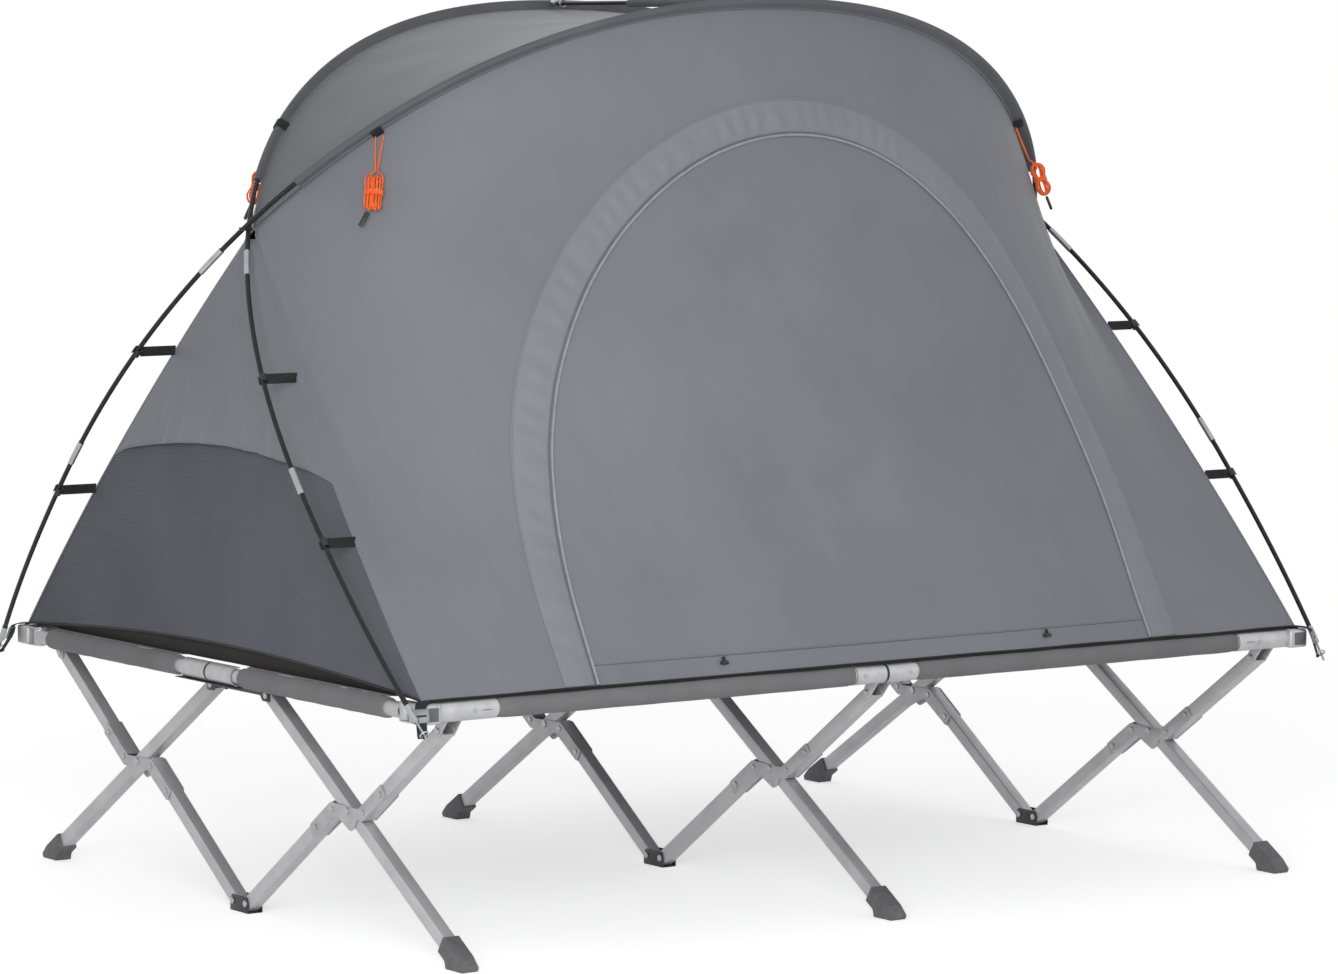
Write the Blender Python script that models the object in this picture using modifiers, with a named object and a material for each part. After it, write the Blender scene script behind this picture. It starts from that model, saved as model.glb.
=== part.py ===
"""Two-person tent cot: a scissor-legged camp bed with a pole tent standing on it.

Run with  blender --background --python part.py  or from Blender's text editor.
Metres, +Z up. X runs along the bed, Y across it, and the tent's door faces -Y.
The origin is on the floor, under the middle of the bed.
"""
import math

import bmesh
import bpy
from mathutils import Matrix, Vector

OBJECT_NAME = "tent_cot"

# Frame: three W-shaped leg frames, two long rails, two end bars
FRAME_PITCH = 0.918        # from the middle leg frame to each end one
RAIL_Y = 0.710             # axis of a long rail, from the middle
RAIL_Z = 0.445             # height of the rails' and end bars' axes
RAIL_RADIUS = 0.015
RAIL_WALL = 0.0015
RAIL_END_X = 0.955         # where a rail stops inside its corner
END_BAR_X = 0.985
END_BAR_RADIUS = 0.014
END_BAR_WALL = 0.0015
END_BAR_TIP_Y = 0.050      # where a half bar stops, from the middle
END_BAR_PIN_INSET = 0.045  # its hinge pin, inboard of the rail's axis
TOUCH_GAP = 0.0003         # between pieces that lie on each other
RUN_GAP = 0.0004           # between pieces that turn beside each other
OVERRUN = 0.002            # how far a cut runs past what it cuts
WELD = 0.00001             # points nearer than this are one
TURN_WELD = 0.0001         # the same, where a turned profile closes

# Scissor legs
LEG_WIDTH = 0.025
INNER_LEG_WIDTH = 0.026    # across X, so that the hub bracket's plates lie on it
LEG_WALL = 0.0015
LEG_PAST_PIN = 0.008       # length of a leg past the pin at its end
TOP_PIN_Y = 0.100          # pins of the top centre brackets
TOP_PIN_Z = 0.408          # and of the rails' ears
HUB_Y = 0.381              # where two legs of a scissor cross
HUB_Z = 0.233
BOTTOM_PIN_Y = 0.023       # pins of the bottom centre brackets
BOTTOM_PIN_Z = 0.018
RAIL_PIN_INSET = 0.028     # pins of the rails' ears, inboard of the rail's axis
FOOT_END_Z = 0.022         # height of a leg's end inside its foot
PIN_RADIUS = 0.0048
PIN_STANDOUT = 0.0016      # how far a pin's peened end shows
PIN_CLEARANCE = 0.0006
OPEN_PIN_PLAY = 0.0012     # more room round the back pins of the bottom brackets
RIVET_HEAD_RADIUS = 0.0055
RIVET_HEAD_HEIGHT = 0.0015
PLATE = 0.002              # thickness of stamped brackets
HUB_REACH = 0.1215         # of the hub bracket, along Y
HUB_OUTLINE_SHARES = ((-0.94, -0.51), (-0.31, -0.10), (0.09, -0.29), (0.19, -0.25), (0.26, -0.11),
                      (0.42, -0.11), (1.06, 0.33), (0.94, 0.51), (0.30, 0.063), (-0.47, 0.080),
                      (-1.06, -0.33))   # in shares of that reach, from the crossing pin
HUB_ARM_SHARES = (0.905, 0.354)         # its outer rivet, on the axis of a half leg
HUB_LAP = 0.078            # a half leg runs this far into the bracket past its outer rivet
HUB_RIVET_STEP = 0.070     # from that rivet to the next
TOP_BRACKET_HALF = 0.112   # half length
TOP_BRACKET_DROP = 0.011   # its side plates, below the pins
BOTTOM_BRACKET_HALF = 0.0325
BOTTOM_BRACKET_TOP = 0.030
TOP_WEB = 0.0015           # thickness of the top brackets' roof
SPACER_RADIUS = 0.0022     # bar that ties the middle coupling's ears
SPACER_INSET = 0.0088      # from the rail's axis
EAR_RADIUS = 0.011         # end of a plate round a leg's pin

# Feet
FOOT_LENGTH = 0.056
FOOT_WALL = 0.004
FOOT_HEEL = 0.011          # where its underside leaves the leg's line, from the leg's end
FOOT_TOE = 0.020           # where its upper side does
FOOT_REACH = 0.043         # of its toe, past the leg's end
FOOT_CHAMFER = 0.008

# Rail fittings
COUPLING_RADIUS = 0.0175
COUPLING_END = 0.068
COUPLING_GAP = 0.006
CORNER_START_X = 0.837
CORNER_RADIUS = 0.018
BLOCK_X = (0.957, 0.998)
BLOCK_Y = (0.692, 0.735)
BLOCK_HALF_HEIGHT = 0.0175
BLOCK_BEVEL = 0.004
EAR_HALF_WIDTH = 0.012
EAR_THICKNESS = 0.0022
EAR_INSET = 0.0004         # the fork's ears, in from the block's top and bottom
HINGE_PIN_RADIUS = 0.003
HINGE_CLEARANCE = 0.0005
KNUCKLE_RADIUS = 0.012
PLUG_WIDTH = 0.030
PLUG_HEIGHT = 0.027
PLUG_STANDOUT = 0.002
TROUGH_HALF = 0.0178       # half height of the channel that holds the half bars' tips
TROUGH_WALL = 0.0024
TROUGH_END_Y = 0.092

# Bed cloth
SLEEVE_RADIUS = 0.019
SLEEVE_BORE = 0.0168
SLEEVE_MARGIN = 0.005      # bare rail between a sleeve and the next fitting
BED_CLOTH = 0.002
BED_CLOTH_DROP = 0.0008    # its top, below the top of the sleeves
TONGUE_INSET = 0.0002      # the strips that run to the sleeves, thinner by this on each face
BED_EDGE_Y = 0.680
BED_EDGE_X = 0.955
END_SLEEVE_END_Y = 0.610

# Tent
TENT_CLOTH = 0.002
FLOOR_HALF = (0.985, 0.717)
HEM_X = 0.983
HEM_Y = 0.714
SEAM_GAP = 0.004           # between two walls along a seam
END_WALL_TOP_GAP = 0.024   # from an end wall's top to where its seams would meet
POLE_RADIUS = 0.0045
POLE_BULGE = 0.062         # how far a pole bows out past the hem's corner
POLE_BELLY_Z = 0.750       # height where it bows out most
POLE_TOP_Z = 1.656
POLE_LOWER_REACH = 1.200   # half height of the lower part of the pole's oval
OVAL_POWER = 2.2
POLE_FOOT_Y = 0.773        # where a pole's pin ends
POLE_FOOT_Z = 0.405
CROSSING_Z = 1.245         # where the two poles cross at each end
POLE_OFFSET = 0.0066       # one pole runs outside the other by twice this
POLE_PIN_RADIUS = 0.0022
POLE_PIN_LENGTH = 0.038
CLOTH_INSET = 0.014        # tent cloth, inside the poles
ROOF_LIFT = 0.0018         # roof cloth over the top edges of the walls
WALL_TOP_GAP = 0.0006
SEAM_CORNER_SHARE = 0.17   # the first ruling of a wall runs along this share of the seam
ROOF_SAG = 0.020
FERRULE_RADIUS = 0.0056
FERRULE_LENGTH = 0.055
FERRULE_LEVELS = (0.800, 1.165)
CUP_LENGTH = 0.018         # cups of the ridge spreader

# Door
DOOR_HALF_WIDTH = 0.632
DOOR_SILL_Z = 0.500
DOOR_SPRING_Z = 0.600      # where the door's straight sides turn into its arch
DOOR_RISE_SHARE = 0.426    # its top, from the crossing to the top of the poles
DOOR_GAP = 0.0009          # round the door's sides and arch; its sill lies at the touch gap

# Straps and guy lines
STRAP_WIDTH = 0.022
STRAP_THICKNESS = 0.002
STRAP_CLEARANCE = 0.006    # it hangs this far off the corner block
STRAP_TAPER_SHARE = 0.8    # its width at the eyelet
EYELET_RADIUS = 0.009
EYELET_BORE = 0.003
EYELET_PLACE_SHARE = 0.45  # along the pole's pin, from its tip
TAB_WIDTH = 0.020
TAB_REACH = 0.016
TAB_THICKNESS = 0.0024
TAB_RISE_SHARE = 0.414     # height of the tabs, from the crossing to the top of the poles
LINE_RADIUS = 0.0015
LINE_STRAND = 0.058        # from the tab to the hank
HANK_TURNS = 4
HANK_HEIGHT = 0.072
HANK_WIDTH = 0.028
HANK_PITCH = 0.0038
HANK_SQUARENESS = 0.8      # power that fills out the turns' ends
STRAND_SPREAD = 0.0045     # each strand's side step at the tab

# Counts of sides and steps
PIN_SIDES = 6
BORE_SIDES = 8
TUBE_SIDES = 12
WALL_STEPS = 20
WALL_ROWS = 3
ROOF_ROWS = 3
END_ROWS = 5
POLE_STEPS = 28
POLE_LEG_STEPS = 3
DOOR_ARC_STEPS = 16
POINTS_A_TURN = 24
STRAND_STEPS = 6
SHARP_DEGREES = 35
FRAMES = (("left", -1), ("middle", 0), ("right", 1))
SIDES = (("front", -1), ("back", 1))
ENDS = (("left", -1), ("right", 1))

OUTER_ANGLE = math.atan2(TOP_PIN_Z - HUB_Z, HUB_Y - TOP_PIN_Y)   # of an outer leg, down from level
POLE_HALF_SPAN = HEM_X + POLE_BULGE
LEAN = POLE_FOOT_Y / (CROSSING_Z - POLE_FOOT_Z)   # of the planes that the poles stand in
DOOR_TOP_Z = CROSSING_Z + DOOR_RISE_SHARE * (POLE_TOP_Z - CROSSING_Z)
TAB_Z = CROSSING_Z + TAB_RISE_SHARE * (POLE_TOP_Z - CROSSING_Z)
TOP_OF_SLEEVES = RAIL_Z + SLEEVE_RADIUS
FLOOR_Z = TOP_OF_SLEEVES + TOUCH_GAP
WALL_Z = FLOOR_Z + TENT_CLOTH + TOUCH_GAP
END_SLEEVE_Y = (TOP_BRACKET_HALF + SLEEVE_MARGIN, END_SLEEVE_END_Y)   # of a sleeve round a half end bar
HUB_IN = LEG_WIDTH / 2 + RUN_GAP             # inner faces of the hub bracket and the top brackets
HUB_OUT = HUB_IN + PLATE
EAR_IN = INNER_LEG_WIDTH / 2 + RUN_GAP       # inner faces of the brackets that hold the inner legs
EAR_OUT = EAR_IN + PLATE

COLOURS = {
    "aluminium": ((0.40, 0.40, 0.42), 0.45, 1.0),
    "bracket_black": ((0.020, 0.020, 0.022), 0.5, 0.0),
    "foot_plastic": ((0.060, 0.060, 0.064), 0.6, 0.0),
    "bed_cloth": ((0.070, 0.068, 0.072), 0.9, 0.0),
    "tent_cloth": ((0.16, 0.165, 0.19), 0.85, 0.0),
    "door_cloth": ((0.17, 0.175, 0.20), 0.85, 0.0),
    "floor_sheet": ((0.012, 0.012, 0.013), 0.6, 0.0),
    "pole_black": ((0.012, 0.012, 0.014), 0.35, 0.0),
    "webbing": ((0.020, 0.020, 0.021), 0.85, 0.0),
    "guy_line": ((0.55, 0.12, 0.02), 0.8, 0.0),
}


# Scene, collections and materials

def start_scene():
    for old in list(bpy.data.objects):
        bpy.data.objects.remove(old, do_unlink=True)
    parts = bpy.data.collections.new(OBJECT_NAME)
    cutters = bpy.data.collections.new(OBJECT_NAME + "_cutters")
    for collection in (parts, cutters):
        bpy.context.scene.collection.children.link(collection)
    return parts, cutters


def material(name):
    found = bpy.data.materials.get(name)
    if found:
        return found
    colour, roughness, metallic = COLOURS[name]
    made = bpy.data.materials.new(name)
    made.use_nodes = True
    shader = made.node_tree.nodes["Principled BSDF"]
    shader.inputs["Base Color"].default_value = (*colour, 1.0)
    shader.inputs["Roughness"].default_value = roughness
    shader.inputs["Metallic"].default_value = metallic
    return made


# Small shape makers: each gives a mesh in the place where it belongs

def mesh_of(bm, name="shape"):
    bmesh.ops.recalc_face_normals(bm, faces=bm.faces)
    mesh = bpy.data.meshes.new(name)
    bm.to_mesh(mesh)
    bm.free()
    return mesh


def box(low, high, bevel=0.0):
    low, high = Vector(low), Vector(high)
    bm = bmesh.new()
    bmesh.ops.create_cube(bm, size=1.0)
    bmesh.ops.scale(bm, vec=high - low, verts=bm.verts)
    bmesh.ops.translate(bm, vec=(high + low) / 2, verts=bm.verts)
    if bevel:
        bmesh.ops.bevel(bm, geom=bm.edges[:], offset=bevel, affect="EDGES", segments=1, profile=0.5)
    return mesh_of(bm)


def rod(radius, start, end, sides=PIN_SIDES):
    start, end = Vector(start), Vector(end)
    along = end - start
    bm = bmesh.new()
    bmesh.ops.create_cone(bm, cap_ends=True, segments=sides, radius1=radius, radius2=radius,
                          depth=along.length)
    turn = along.to_track_quat("Z", "Y").to_matrix().to_4x4()
    bmesh.ops.transform(bm, matrix=Matrix.Translation((start + end) / 2) @ turn, verts=bm.verts)
    return mesh_of(bm)


def evaluated_mesh(obj):
    bpy.context.view_layer.update()
    graph = bpy.context.evaluated_depsgraph_get()
    mesh = bpy.data.meshes.new_from_object(obj.evaluated_get(graph))
    mesh.transform(obj.matrix_world)
    data = obj.data
    bpy.data.objects.remove(obj)
    if isinstance(data, bpy.types.Curve):
        bpy.data.curves.remove(data)
    bm = bmesh.new()
    bm.from_mesh(mesh)
    bmesh.ops.remove_doubles(bm, verts=bm.verts, dist=WELD)
    bpy.data.meshes.remove(mesh)
    return mesh_of(bm)


def plate(outlines, thickness, place):
    """Flat outlines, holes among them, made a solid of this thickness and put in place."""
    curve = bpy.data.curves.new("outline", "CURVE")
    curve.dimensions = "2D"
    curve.fill_mode = "BOTH"
    curve.extrude = thickness / 2
    for outline in outlines:
        spline = curve.splines.new("POLY")
        spline.points.add(len(outline) - 1)
        for point, (u, v) in zip(spline.points, outline):
            point.co = (u, v, 0.0, 1.0)
        spline.use_cyclic_u = True
    obj = bpy.data.objects.new("outline", curve)
    bpy.context.scene.collection.objects.link(obj)
    obj.matrix_world = place
    return evaluated_mesh(obj)


def tube(radius, bore, start, end, sides=TUBE_SIDES):
    """A round tube open at both ends, turned from its wall's profile."""
    start, end = Vector(start), Vector(end)
    along = end - start
    half = along.length / 2
    profile = [(radius, half), (radius, -half), (bore, -half), (bore, half)]
    bm = bmesh.new()
    corners = [bm.verts.new((r, 0.0, z)) for r, z in profile]
    for near, far in zip(corners, corners[1:] + corners[:1]):
        bm.edges.new((near, far))
    mesh = bpy.data.meshes.new("profile")
    bm.to_mesh(mesh)
    bm.free()
    obj = bpy.data.objects.new("profile", mesh)
    bpy.context.scene.collection.objects.link(obj)
    screw = obj.modifiers.new("turn", "SCREW")
    screw.steps = screw.render_steps = sides
    screw.use_merge_vertices = True
    screw.merge_threshold = TURN_WELD
    turn = along.to_track_quat("Z", "Y").to_matrix().to_4x4()
    obj.matrix_world = Matrix.Translation((start + end) / 2) @ turn
    solid = evaluated_mesh(obj)
    bpy.data.meshes.remove(mesh)
    return solid


def combine(base, others, operation):
    """Joins meshes to a base, cuts them from it or keeps what they share."""
    holder = bpy.data.objects.new("base", base)
    bpy.context.scene.collection.objects.link(holder)
    helpers = []
    for other in others:
        helper = bpy.data.objects.new("other", other)
        bpy.context.scene.collection.objects.link(helper)
        step = holder.modifiers.new("step", "BOOLEAN")
        step.operation = operation
        step.solver = "EXACT"
        step.object = helper
        helpers.append(helper)
    solid = evaluated_mesh(holder)
    for helper, other in zip(helpers, others):
        bpy.data.objects.remove(helper)
        bpy.data.meshes.remove(other)
    bpy.data.meshes.remove(base)
    return solid


def join(base, *others):
    return combine(base, others, "UNION")


def cut(base, *others):
    return combine(base, others, "DIFFERENCE")


def moved(mesh, offset):
    copy = mesh.copy()
    copy.transform(Matrix.Translation(offset))
    return copy


def mirrored(mesh, axis):
    """A copy mirrored through the middle plane across X (0) or Y (1)."""
    copy = mesh.copy()
    flip = [1.0, 1.0, 1.0]
    flip[axis] = -1.0
    copy.transform(Matrix.Diagonal((*flip, 1.0)))
    copy.flip_normals()
    return copy


def ring_points(radius, centre, sides=TUBE_SIDES):
    step = 2 * math.pi / sides
    return [(centre[0] + radius * math.cos(i * step), centre[1] + radius * math.sin(i * step))
            for i in range(sides)]


# The frame's parts are drawn on the +Y side in the plane X = 0

ACROSS = Matrix(((0, 0, 1, 0), (1, 0, 0, 0), (0, 1, 0, 0), (0, 0, 0, 1)))   # outline (Y, Z), thick along X
LENGTHWAYS = Matrix(((1, 0, 0, 0), (0, 0, -1, 0), (0, 1, 0, 0), (0, 0, 0, 1)))   # outline (X, Z), along Y


def leg_frame(start, end):
    """Axes of a leg that runs from start to end in the YZ plane: local Z along it, local X along X."""
    along = Vector((0.0, end[0] - start[0], end[1] - start[1]))
    middle = Vector((0.0, (end[0] + start[0]) / 2, (end[1] + start[1]) / 2))
    z = along.normalized()
    x = Vector((1.0, 0.0, 0.0))
    y = z.cross(x)
    turn = Matrix((x, y, z)).transposed().to_4x4()
    return Matrix.Translation(middle) @ turn, along.length


def oblong(half_x, half_y):
    return [(-half_x, -half_y), (half_x, -half_y), (half_x, half_y), (-half_x, half_y)]


def leg_tube(start, end, width):
    """Rectangular tube from start to end; its width lies along X."""
    place, length = leg_frame(start, end)
    half = LEG_WIDTH / 2
    return plate([oblong(width / 2, half), oblong(width / 2 - LEG_WALL, half - LEG_WALL)], length, place)


def pin_ends(at, wall, face):
    """The two ends of a pin, from inside a leg's wall to just past the plate whose outer face is given."""
    y, z = at
    return [rod(PIN_RADIUS, (side * (wall - LEG_WALL / 2), y, z), (side * (face + PIN_STANDOUT), y, z))
            for side in (-1, 1)]


def pin_bore(at, play=0.0):
    y, z = at
    reach = EAR_OUT + OVERRUN
    return rod(PIN_RADIUS + PIN_CLEARANCE + play, (-reach, y, z), (reach, y, z), BORE_SIDES)


def direction_to(start, end):
    run, rise = end[0] - start[0], end[1] - start[1]
    length = math.hypot(run, rise)
    return run / length, rise / length


def along_leg(origin, direction, distance, aside=0.0):
    """A point at a distance along a leg, and aside towards the leg's upper side."""
    run, rise = direction
    return (origin[0] + run * distance - rise * aside, origin[1] + rise * distance + run * aside)


TOP_PIN = (TOP_PIN_Y, TOP_PIN_Z)
HUB = (HUB_Y, HUB_Z)
BOTTOM_PIN = (BOTTOM_PIN_Y, BOTTOM_PIN_Z)
RAIL_PIN = (RAIL_Y - RAIL_PIN_INSET, TOP_PIN_Z)
OUTWARD_DOWN = (math.cos(OUTER_ANGLE), -math.sin(OUTER_ANGLE))
FOOT_END = along_leg(HUB, OUTWARD_DOWN, (HUB_Z - FOOT_END_Z) / math.sin(OUTER_ANGLE))
LOW_RIVET, HIGH_RIVET = [(HUB_Y + side * HUB_REACH * HUB_ARM_SHARES[0],
                          HUB_Z + side * HUB_REACH * HUB_ARM_SHARES[1]) for side in (-1, 1)]


def outer_leg():
    """From the top centre bracket, through the crossing, to the foot."""
    start = along_leg(TOP_PIN, OUTWARD_DOWN, -LEG_PAST_PIN)
    tube_body = leg_tube(start, FOOT_END, LEG_WIDTH)
    pins = pin_ends(TOP_PIN, LEG_WIDTH / 2, HUB_OUT) + pin_ends(HUB, LEG_WIDTH / 2, HUB_OUT)
    return join(tube_body, *pins)


def hub_plate():
    """Outline of the stamped bracket that carries a cranked leg past the crossing: two arms and a body."""
    return [(HUB_Y + run * HUB_REACH, HUB_Z + rise * HUB_REACH) for run, rise in HUB_OUTLINE_SHARES]


def half_leg(pin, rivet):
    """Half an inner leg, from past its end pin into the hub bracket, with the places of its two rivets."""
    inward = direction_to(pin, rivet)
    bar = leg_tube(along_leg(pin, inward, -LEG_PAST_PIN), along_leg(rivet, inward, HUB_LAP),
                   INNER_LEG_WIDTH)
    return bar, [rivet, along_leg(rivet, inward, HUB_RIVET_STEP)]


def inner_leg():
    """Two half legs, out of line with each other, held by a hub bracket that straddles the outer leg."""
    lower, low_rivets = half_leg(BOTTOM_PIN, LOW_RIVET)
    upper, high_rivets = half_leg(RAIL_PIN, HIGH_RIVET)
    middle = (HUB_IN + HUB_OUT) / 2
    plates = []
    rivets = []
    for side in (-1, 1):
        place = Matrix.Translation((side * middle, 0, 0)) @ ACROSS
        plates.append(cut(plate([hub_plate()], PLATE, place), pin_bore(HUB)))
        for y, z in low_rivets + high_rivets:
            rivets.append(rod(RIVET_HEAD_RADIUS, (side * (HUB_OUT - PLATE / 2), y, z),
                              (side * (HUB_OUT + RIVET_HEAD_HEIGHT), y, z)))
    half = INNER_LEG_WIDTH / 2
    pins = pin_ends(BOTTOM_PIN, half, EAR_OUT) + pin_ends(RAIL_PIN, half, EAR_OUT)
    return join(lower, upper, *plates, *rivets, *pins)


def foot():
    """A moulded cap round the leg's end, with a flat sole on the floor."""
    half = LEG_WIDTH / 2 + FOOT_WALL
    inward = (-OUTWARD_DOWN[0], -OUTWARD_DOWN[1])
    mouth_upper = along_leg(FOOT_END, inward, FOOT_LENGTH, -half)
    mouth_lower = along_leg(FOOT_END, inward, FOOT_LENGTH, half)
    heel = along_leg(FOOT_END, inward, FOOT_HEEL, half)
    toe = along_leg(FOOT_END, OUTWARD_DOWN, FOOT_TOE, half)
    sole_outer = FOOT_END[0] + FOOT_REACH
    outline = [mouth_lower, heel, (heel[0] + FOOT_CHAMFER / 2, 0.0),
               (sole_outer - FOOT_CHAMFER / 2, 0.0), (sole_outer, FOOT_CHAMFER), toe, mouth_upper]
    solid = plate([outline], LEG_WIDTH + 2 * FOOT_WALL, ACROSS)
    grown = LEG_WIDTH / 2 + TOUCH_GAP
    place, length = leg_frame(along_leg(FOOT_END, inward, FOOT_LENGTH + OVERRUN + half),
                              along_leg(FOOT_END, OUTWARD_DOWN, TOUCH_GAP))
    return cut(solid, plate([oblong(grown, grown)], length, place))


def top_bracket(shelf=0.0):
    """Black channel over the top ends of the outer legs, with a shelf under an end bar's trough."""
    half = TOP_BRACKET_HALF
    top = RAIL_Z - TROUGH_HALF - TOUCH_GAP
    web = top - TOP_WEB
    low = TOP_PIN_Z - TOP_BRACKET_DROP
    sides = []
    for side in (-1, 1):
        inner, outer = sorted((side * HUB_IN, side * HUB_OUT))
        sides.append(box((inner, -half, low), (outer, half, top)))
    roof = box((-HUB_OUT, -half, web), (HUB_OUT + shelf, half, top))
    bores = [pin_bore((side * TOP_PIN_Y, TOP_PIN_Z)) for side in (-1, 1)]
    return cut(join(roof, *sides), *bores)


def bottom_bracket():
    """Black channel on the floor that holds the bottom ends of the inner legs.

    It hangs on the pins at its +Y end. Those at the other end have more room, because the scissors do not
    keep quite the same distance between the two while the bed folds.
    """
    half = BOTTOM_BRACKET_HALF
    top = BOTTOM_BRACKET_TOP
    sides = []
    for side in (-1, 1):
        inner, outer = sorted((side * EAR_IN, side * EAR_OUT))
        sides.append(box((inner, -half, 0.0), (outer, half, top)))
    base = box((-EAR_OUT, -half, 0.0), (EAR_OUT, half, PLATE))
    bores = [pin_bore(BOTTOM_PIN), pin_bore((-BOTTOM_PIN_Y, BOTTOM_PIN_Z), OPEN_PIN_PLAY)]
    return cut(join(base, *sides), *bores)


def leg_ears(radius):
    """Two plates that hang from a rail fitting and take the top pin of an inner leg."""
    low = ring_points(EAR_RADIUS, RAIL_PIN, BORE_SIDES)
    high = ring_points(radius - PLATE, (RAIL_Y, RAIL_Z), BORE_SIDES)
    outline = convex_outline(low + high)
    middle = (EAR_IN + EAR_OUT) / 2
    ears = []
    for side in (-1, 1):
        place = Matrix.Translation((side * middle, 0, 0)) @ ACROSS
        ears.append(cut(plate([outline], PLATE, place), pin_bore(RAIL_PIN)))
    return ears


def convex_outline(points):
    """The outline that a belt round the points would take, anticlockwise."""
    points = sorted((round(u / WELD) * WELD, round(v / WELD) * WELD) for u, v in set(points))

    def half_belt(row):
        belt = []
        for p in row:
            while len(belt) > 1:
                (au, av), (bu, bv) = belt[-2], belt[-1]
                if (bu - au) * (p[1] - av) - (bv - av) * (p[0] - au) > 0:
                    break
                belt.pop()
            belt.append(p)
        return belt[:-1]

    return half_belt(points) + half_belt(points[::-1])


def rail_bore(low_x, high_x):
    return rod(RAIL_RADIUS + TOUCH_GAP, (low_x, RAIL_Y, RAIL_Z), (high_x, RAIL_Y, RAIL_Z), TUBE_SIDES)


def mid_coupling():
    """Two collars round the rails' inner ends and the ears of the middle leg, tied by a spacer."""
    gap = COUPLING_GAP / 2
    collars = [rod(COUPLING_RADIUS, (side * gap, RAIL_Y, RAIL_Z), (side * COUPLING_END, RAIL_Y, RAIL_Z),
                   TUBE_SIDES) for side in (-1, 1)]
    spacer_y = RAIL_Y - SPACER_INSET
    spacer_z = (TOP_PIN_Z + RAIL_Z - COUPLING_RADIUS) / 2 + SPACER_RADIUS
    spacer = rod(SPACER_RADIUS, (-EAR_OUT, spacer_y, spacer_z), (EAR_OUT, spacer_y, spacer_z))
    reach = COUPLING_END + OVERRUN
    return cut(join(collars[0], collars[1], *leg_ears(COUPLING_RADIUS), spacer), rail_bore(-reach, reach))


def corner():
    """Die-cast corner: a socket for the rail, ears for the leg, a fork for the end bar and its end plug."""
    socket = rod(CORNER_RADIUS, (CORNER_START_X, RAIL_Y, RAIL_Z), (BLOCK_X[0] + OVERRUN, RAIL_Y, RAIL_Z),
                 TUBE_SIDES)
    low, high = RAIL_Z - BLOCK_HALF_HEIGHT, RAIL_Z + BLOCK_HALF_HEIGHT
    block = box((BLOCK_X[0], BLOCK_Y[0], low), (BLOCK_X[1], BLOCK_Y[1], high), BLOCK_BEVEL)
    plug = box((END_BAR_X - PLUG_WIDTH / 2, BLOCK_Y[1] - OVERRUN, RAIL_Z - PLUG_HEIGHT / 2),
               (END_BAR_X + PLUG_WIDTH / 2, BLOCK_Y[1] + PLUG_STANDOUT, RAIL_Z + PLUG_HEIGHT / 2))
    pin_y = RAIL_Y - END_BAR_PIN_INSET
    root_y = BLOCK_Y[0] + BLOCK_BEVEL + OVERRUN
    tip = ring_points(EAR_HALF_WIDTH, (END_BAR_X, pin_y))
    root = [(END_BAR_X - EAR_HALF_WIDTH, root_y), (END_BAR_X + EAR_HALF_WIDTH, root_y)]
    ear_outline = convex_outline(tip + root)
    inset = BLOCK_HALF_HEIGHT - EAR_INSET - EAR_THICKNESS / 2
    ears = [plate([ear_outline], EAR_THICKNESS, Matrix.Translation((0, 0, RAIL_Z + side * inset)))
            for side in (-1, 1)]
    hinge_pin = rod(HINGE_PIN_RADIUS, (END_BAR_X, pin_y, RAIL_Z - inset), (END_BAR_X, pin_y, RAIL_Z + inset))
    leg_ear = [moved(ear, (FRAME_PITCH, 0, 0)) for ear in leg_ears(CORNER_RADIUS)]
    body = join(socket, block, plug, *ears, hinge_pin, *leg_ear)
    return cut(body, rail_bore(CORNER_START_X - OVERRUN, RAIL_END_X + TOUCH_GAP))


def end_bar():
    """Half an end bar: a tube with a knuckle on the hinge pin of its corner."""
    pin_y = RAIL_Y - END_BAR_PIN_INSET
    half = BLOCK_HALF_HEIGHT - EAR_INSET - EAR_THICKNESS - RUN_GAP
    inner = END_BAR_RADIUS - END_BAR_WALL
    bar = tube(END_BAR_RADIUS, inner, (END_BAR_X, END_BAR_TIP_Y, RAIL_Z),
               (END_BAR_X, pin_y - KNUCKLE_RADIUS / 2, RAIL_Z))
    knuckle = rod(KNUCKLE_RADIUS, (END_BAR_X, pin_y, RAIL_Z - half), (END_BAR_X, pin_y, RAIL_Z + half),
                  TUBE_SIDES)
    reach = half + OVERRUN
    bore = rod(HINGE_PIN_RADIUS + HINGE_CLEARANCE, (END_BAR_X, pin_y, RAIL_Z - reach),
               (END_BAR_X, pin_y, RAIL_Z + reach), BORE_SIDES)
    return cut(join(bar, knuckle), bore)


def end_trough():
    """Channel that holds the tips of two half bars, open on its inboard side."""
    out, inner = TROUGH_HALF, TROUGH_HALF - TROUGH_WALL
    outline = [(0.0, -out), (out, -out), (out, out), (0.0, out), (0.0, inner), (inner, inner),
               (inner, -inner), (0.0, -inner)]
    return plate([outline], 2 * TROUGH_END_Y, Matrix.Translation((END_BAR_X, 0, RAIL_Z)) @ LENGTHWAYS)


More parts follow.
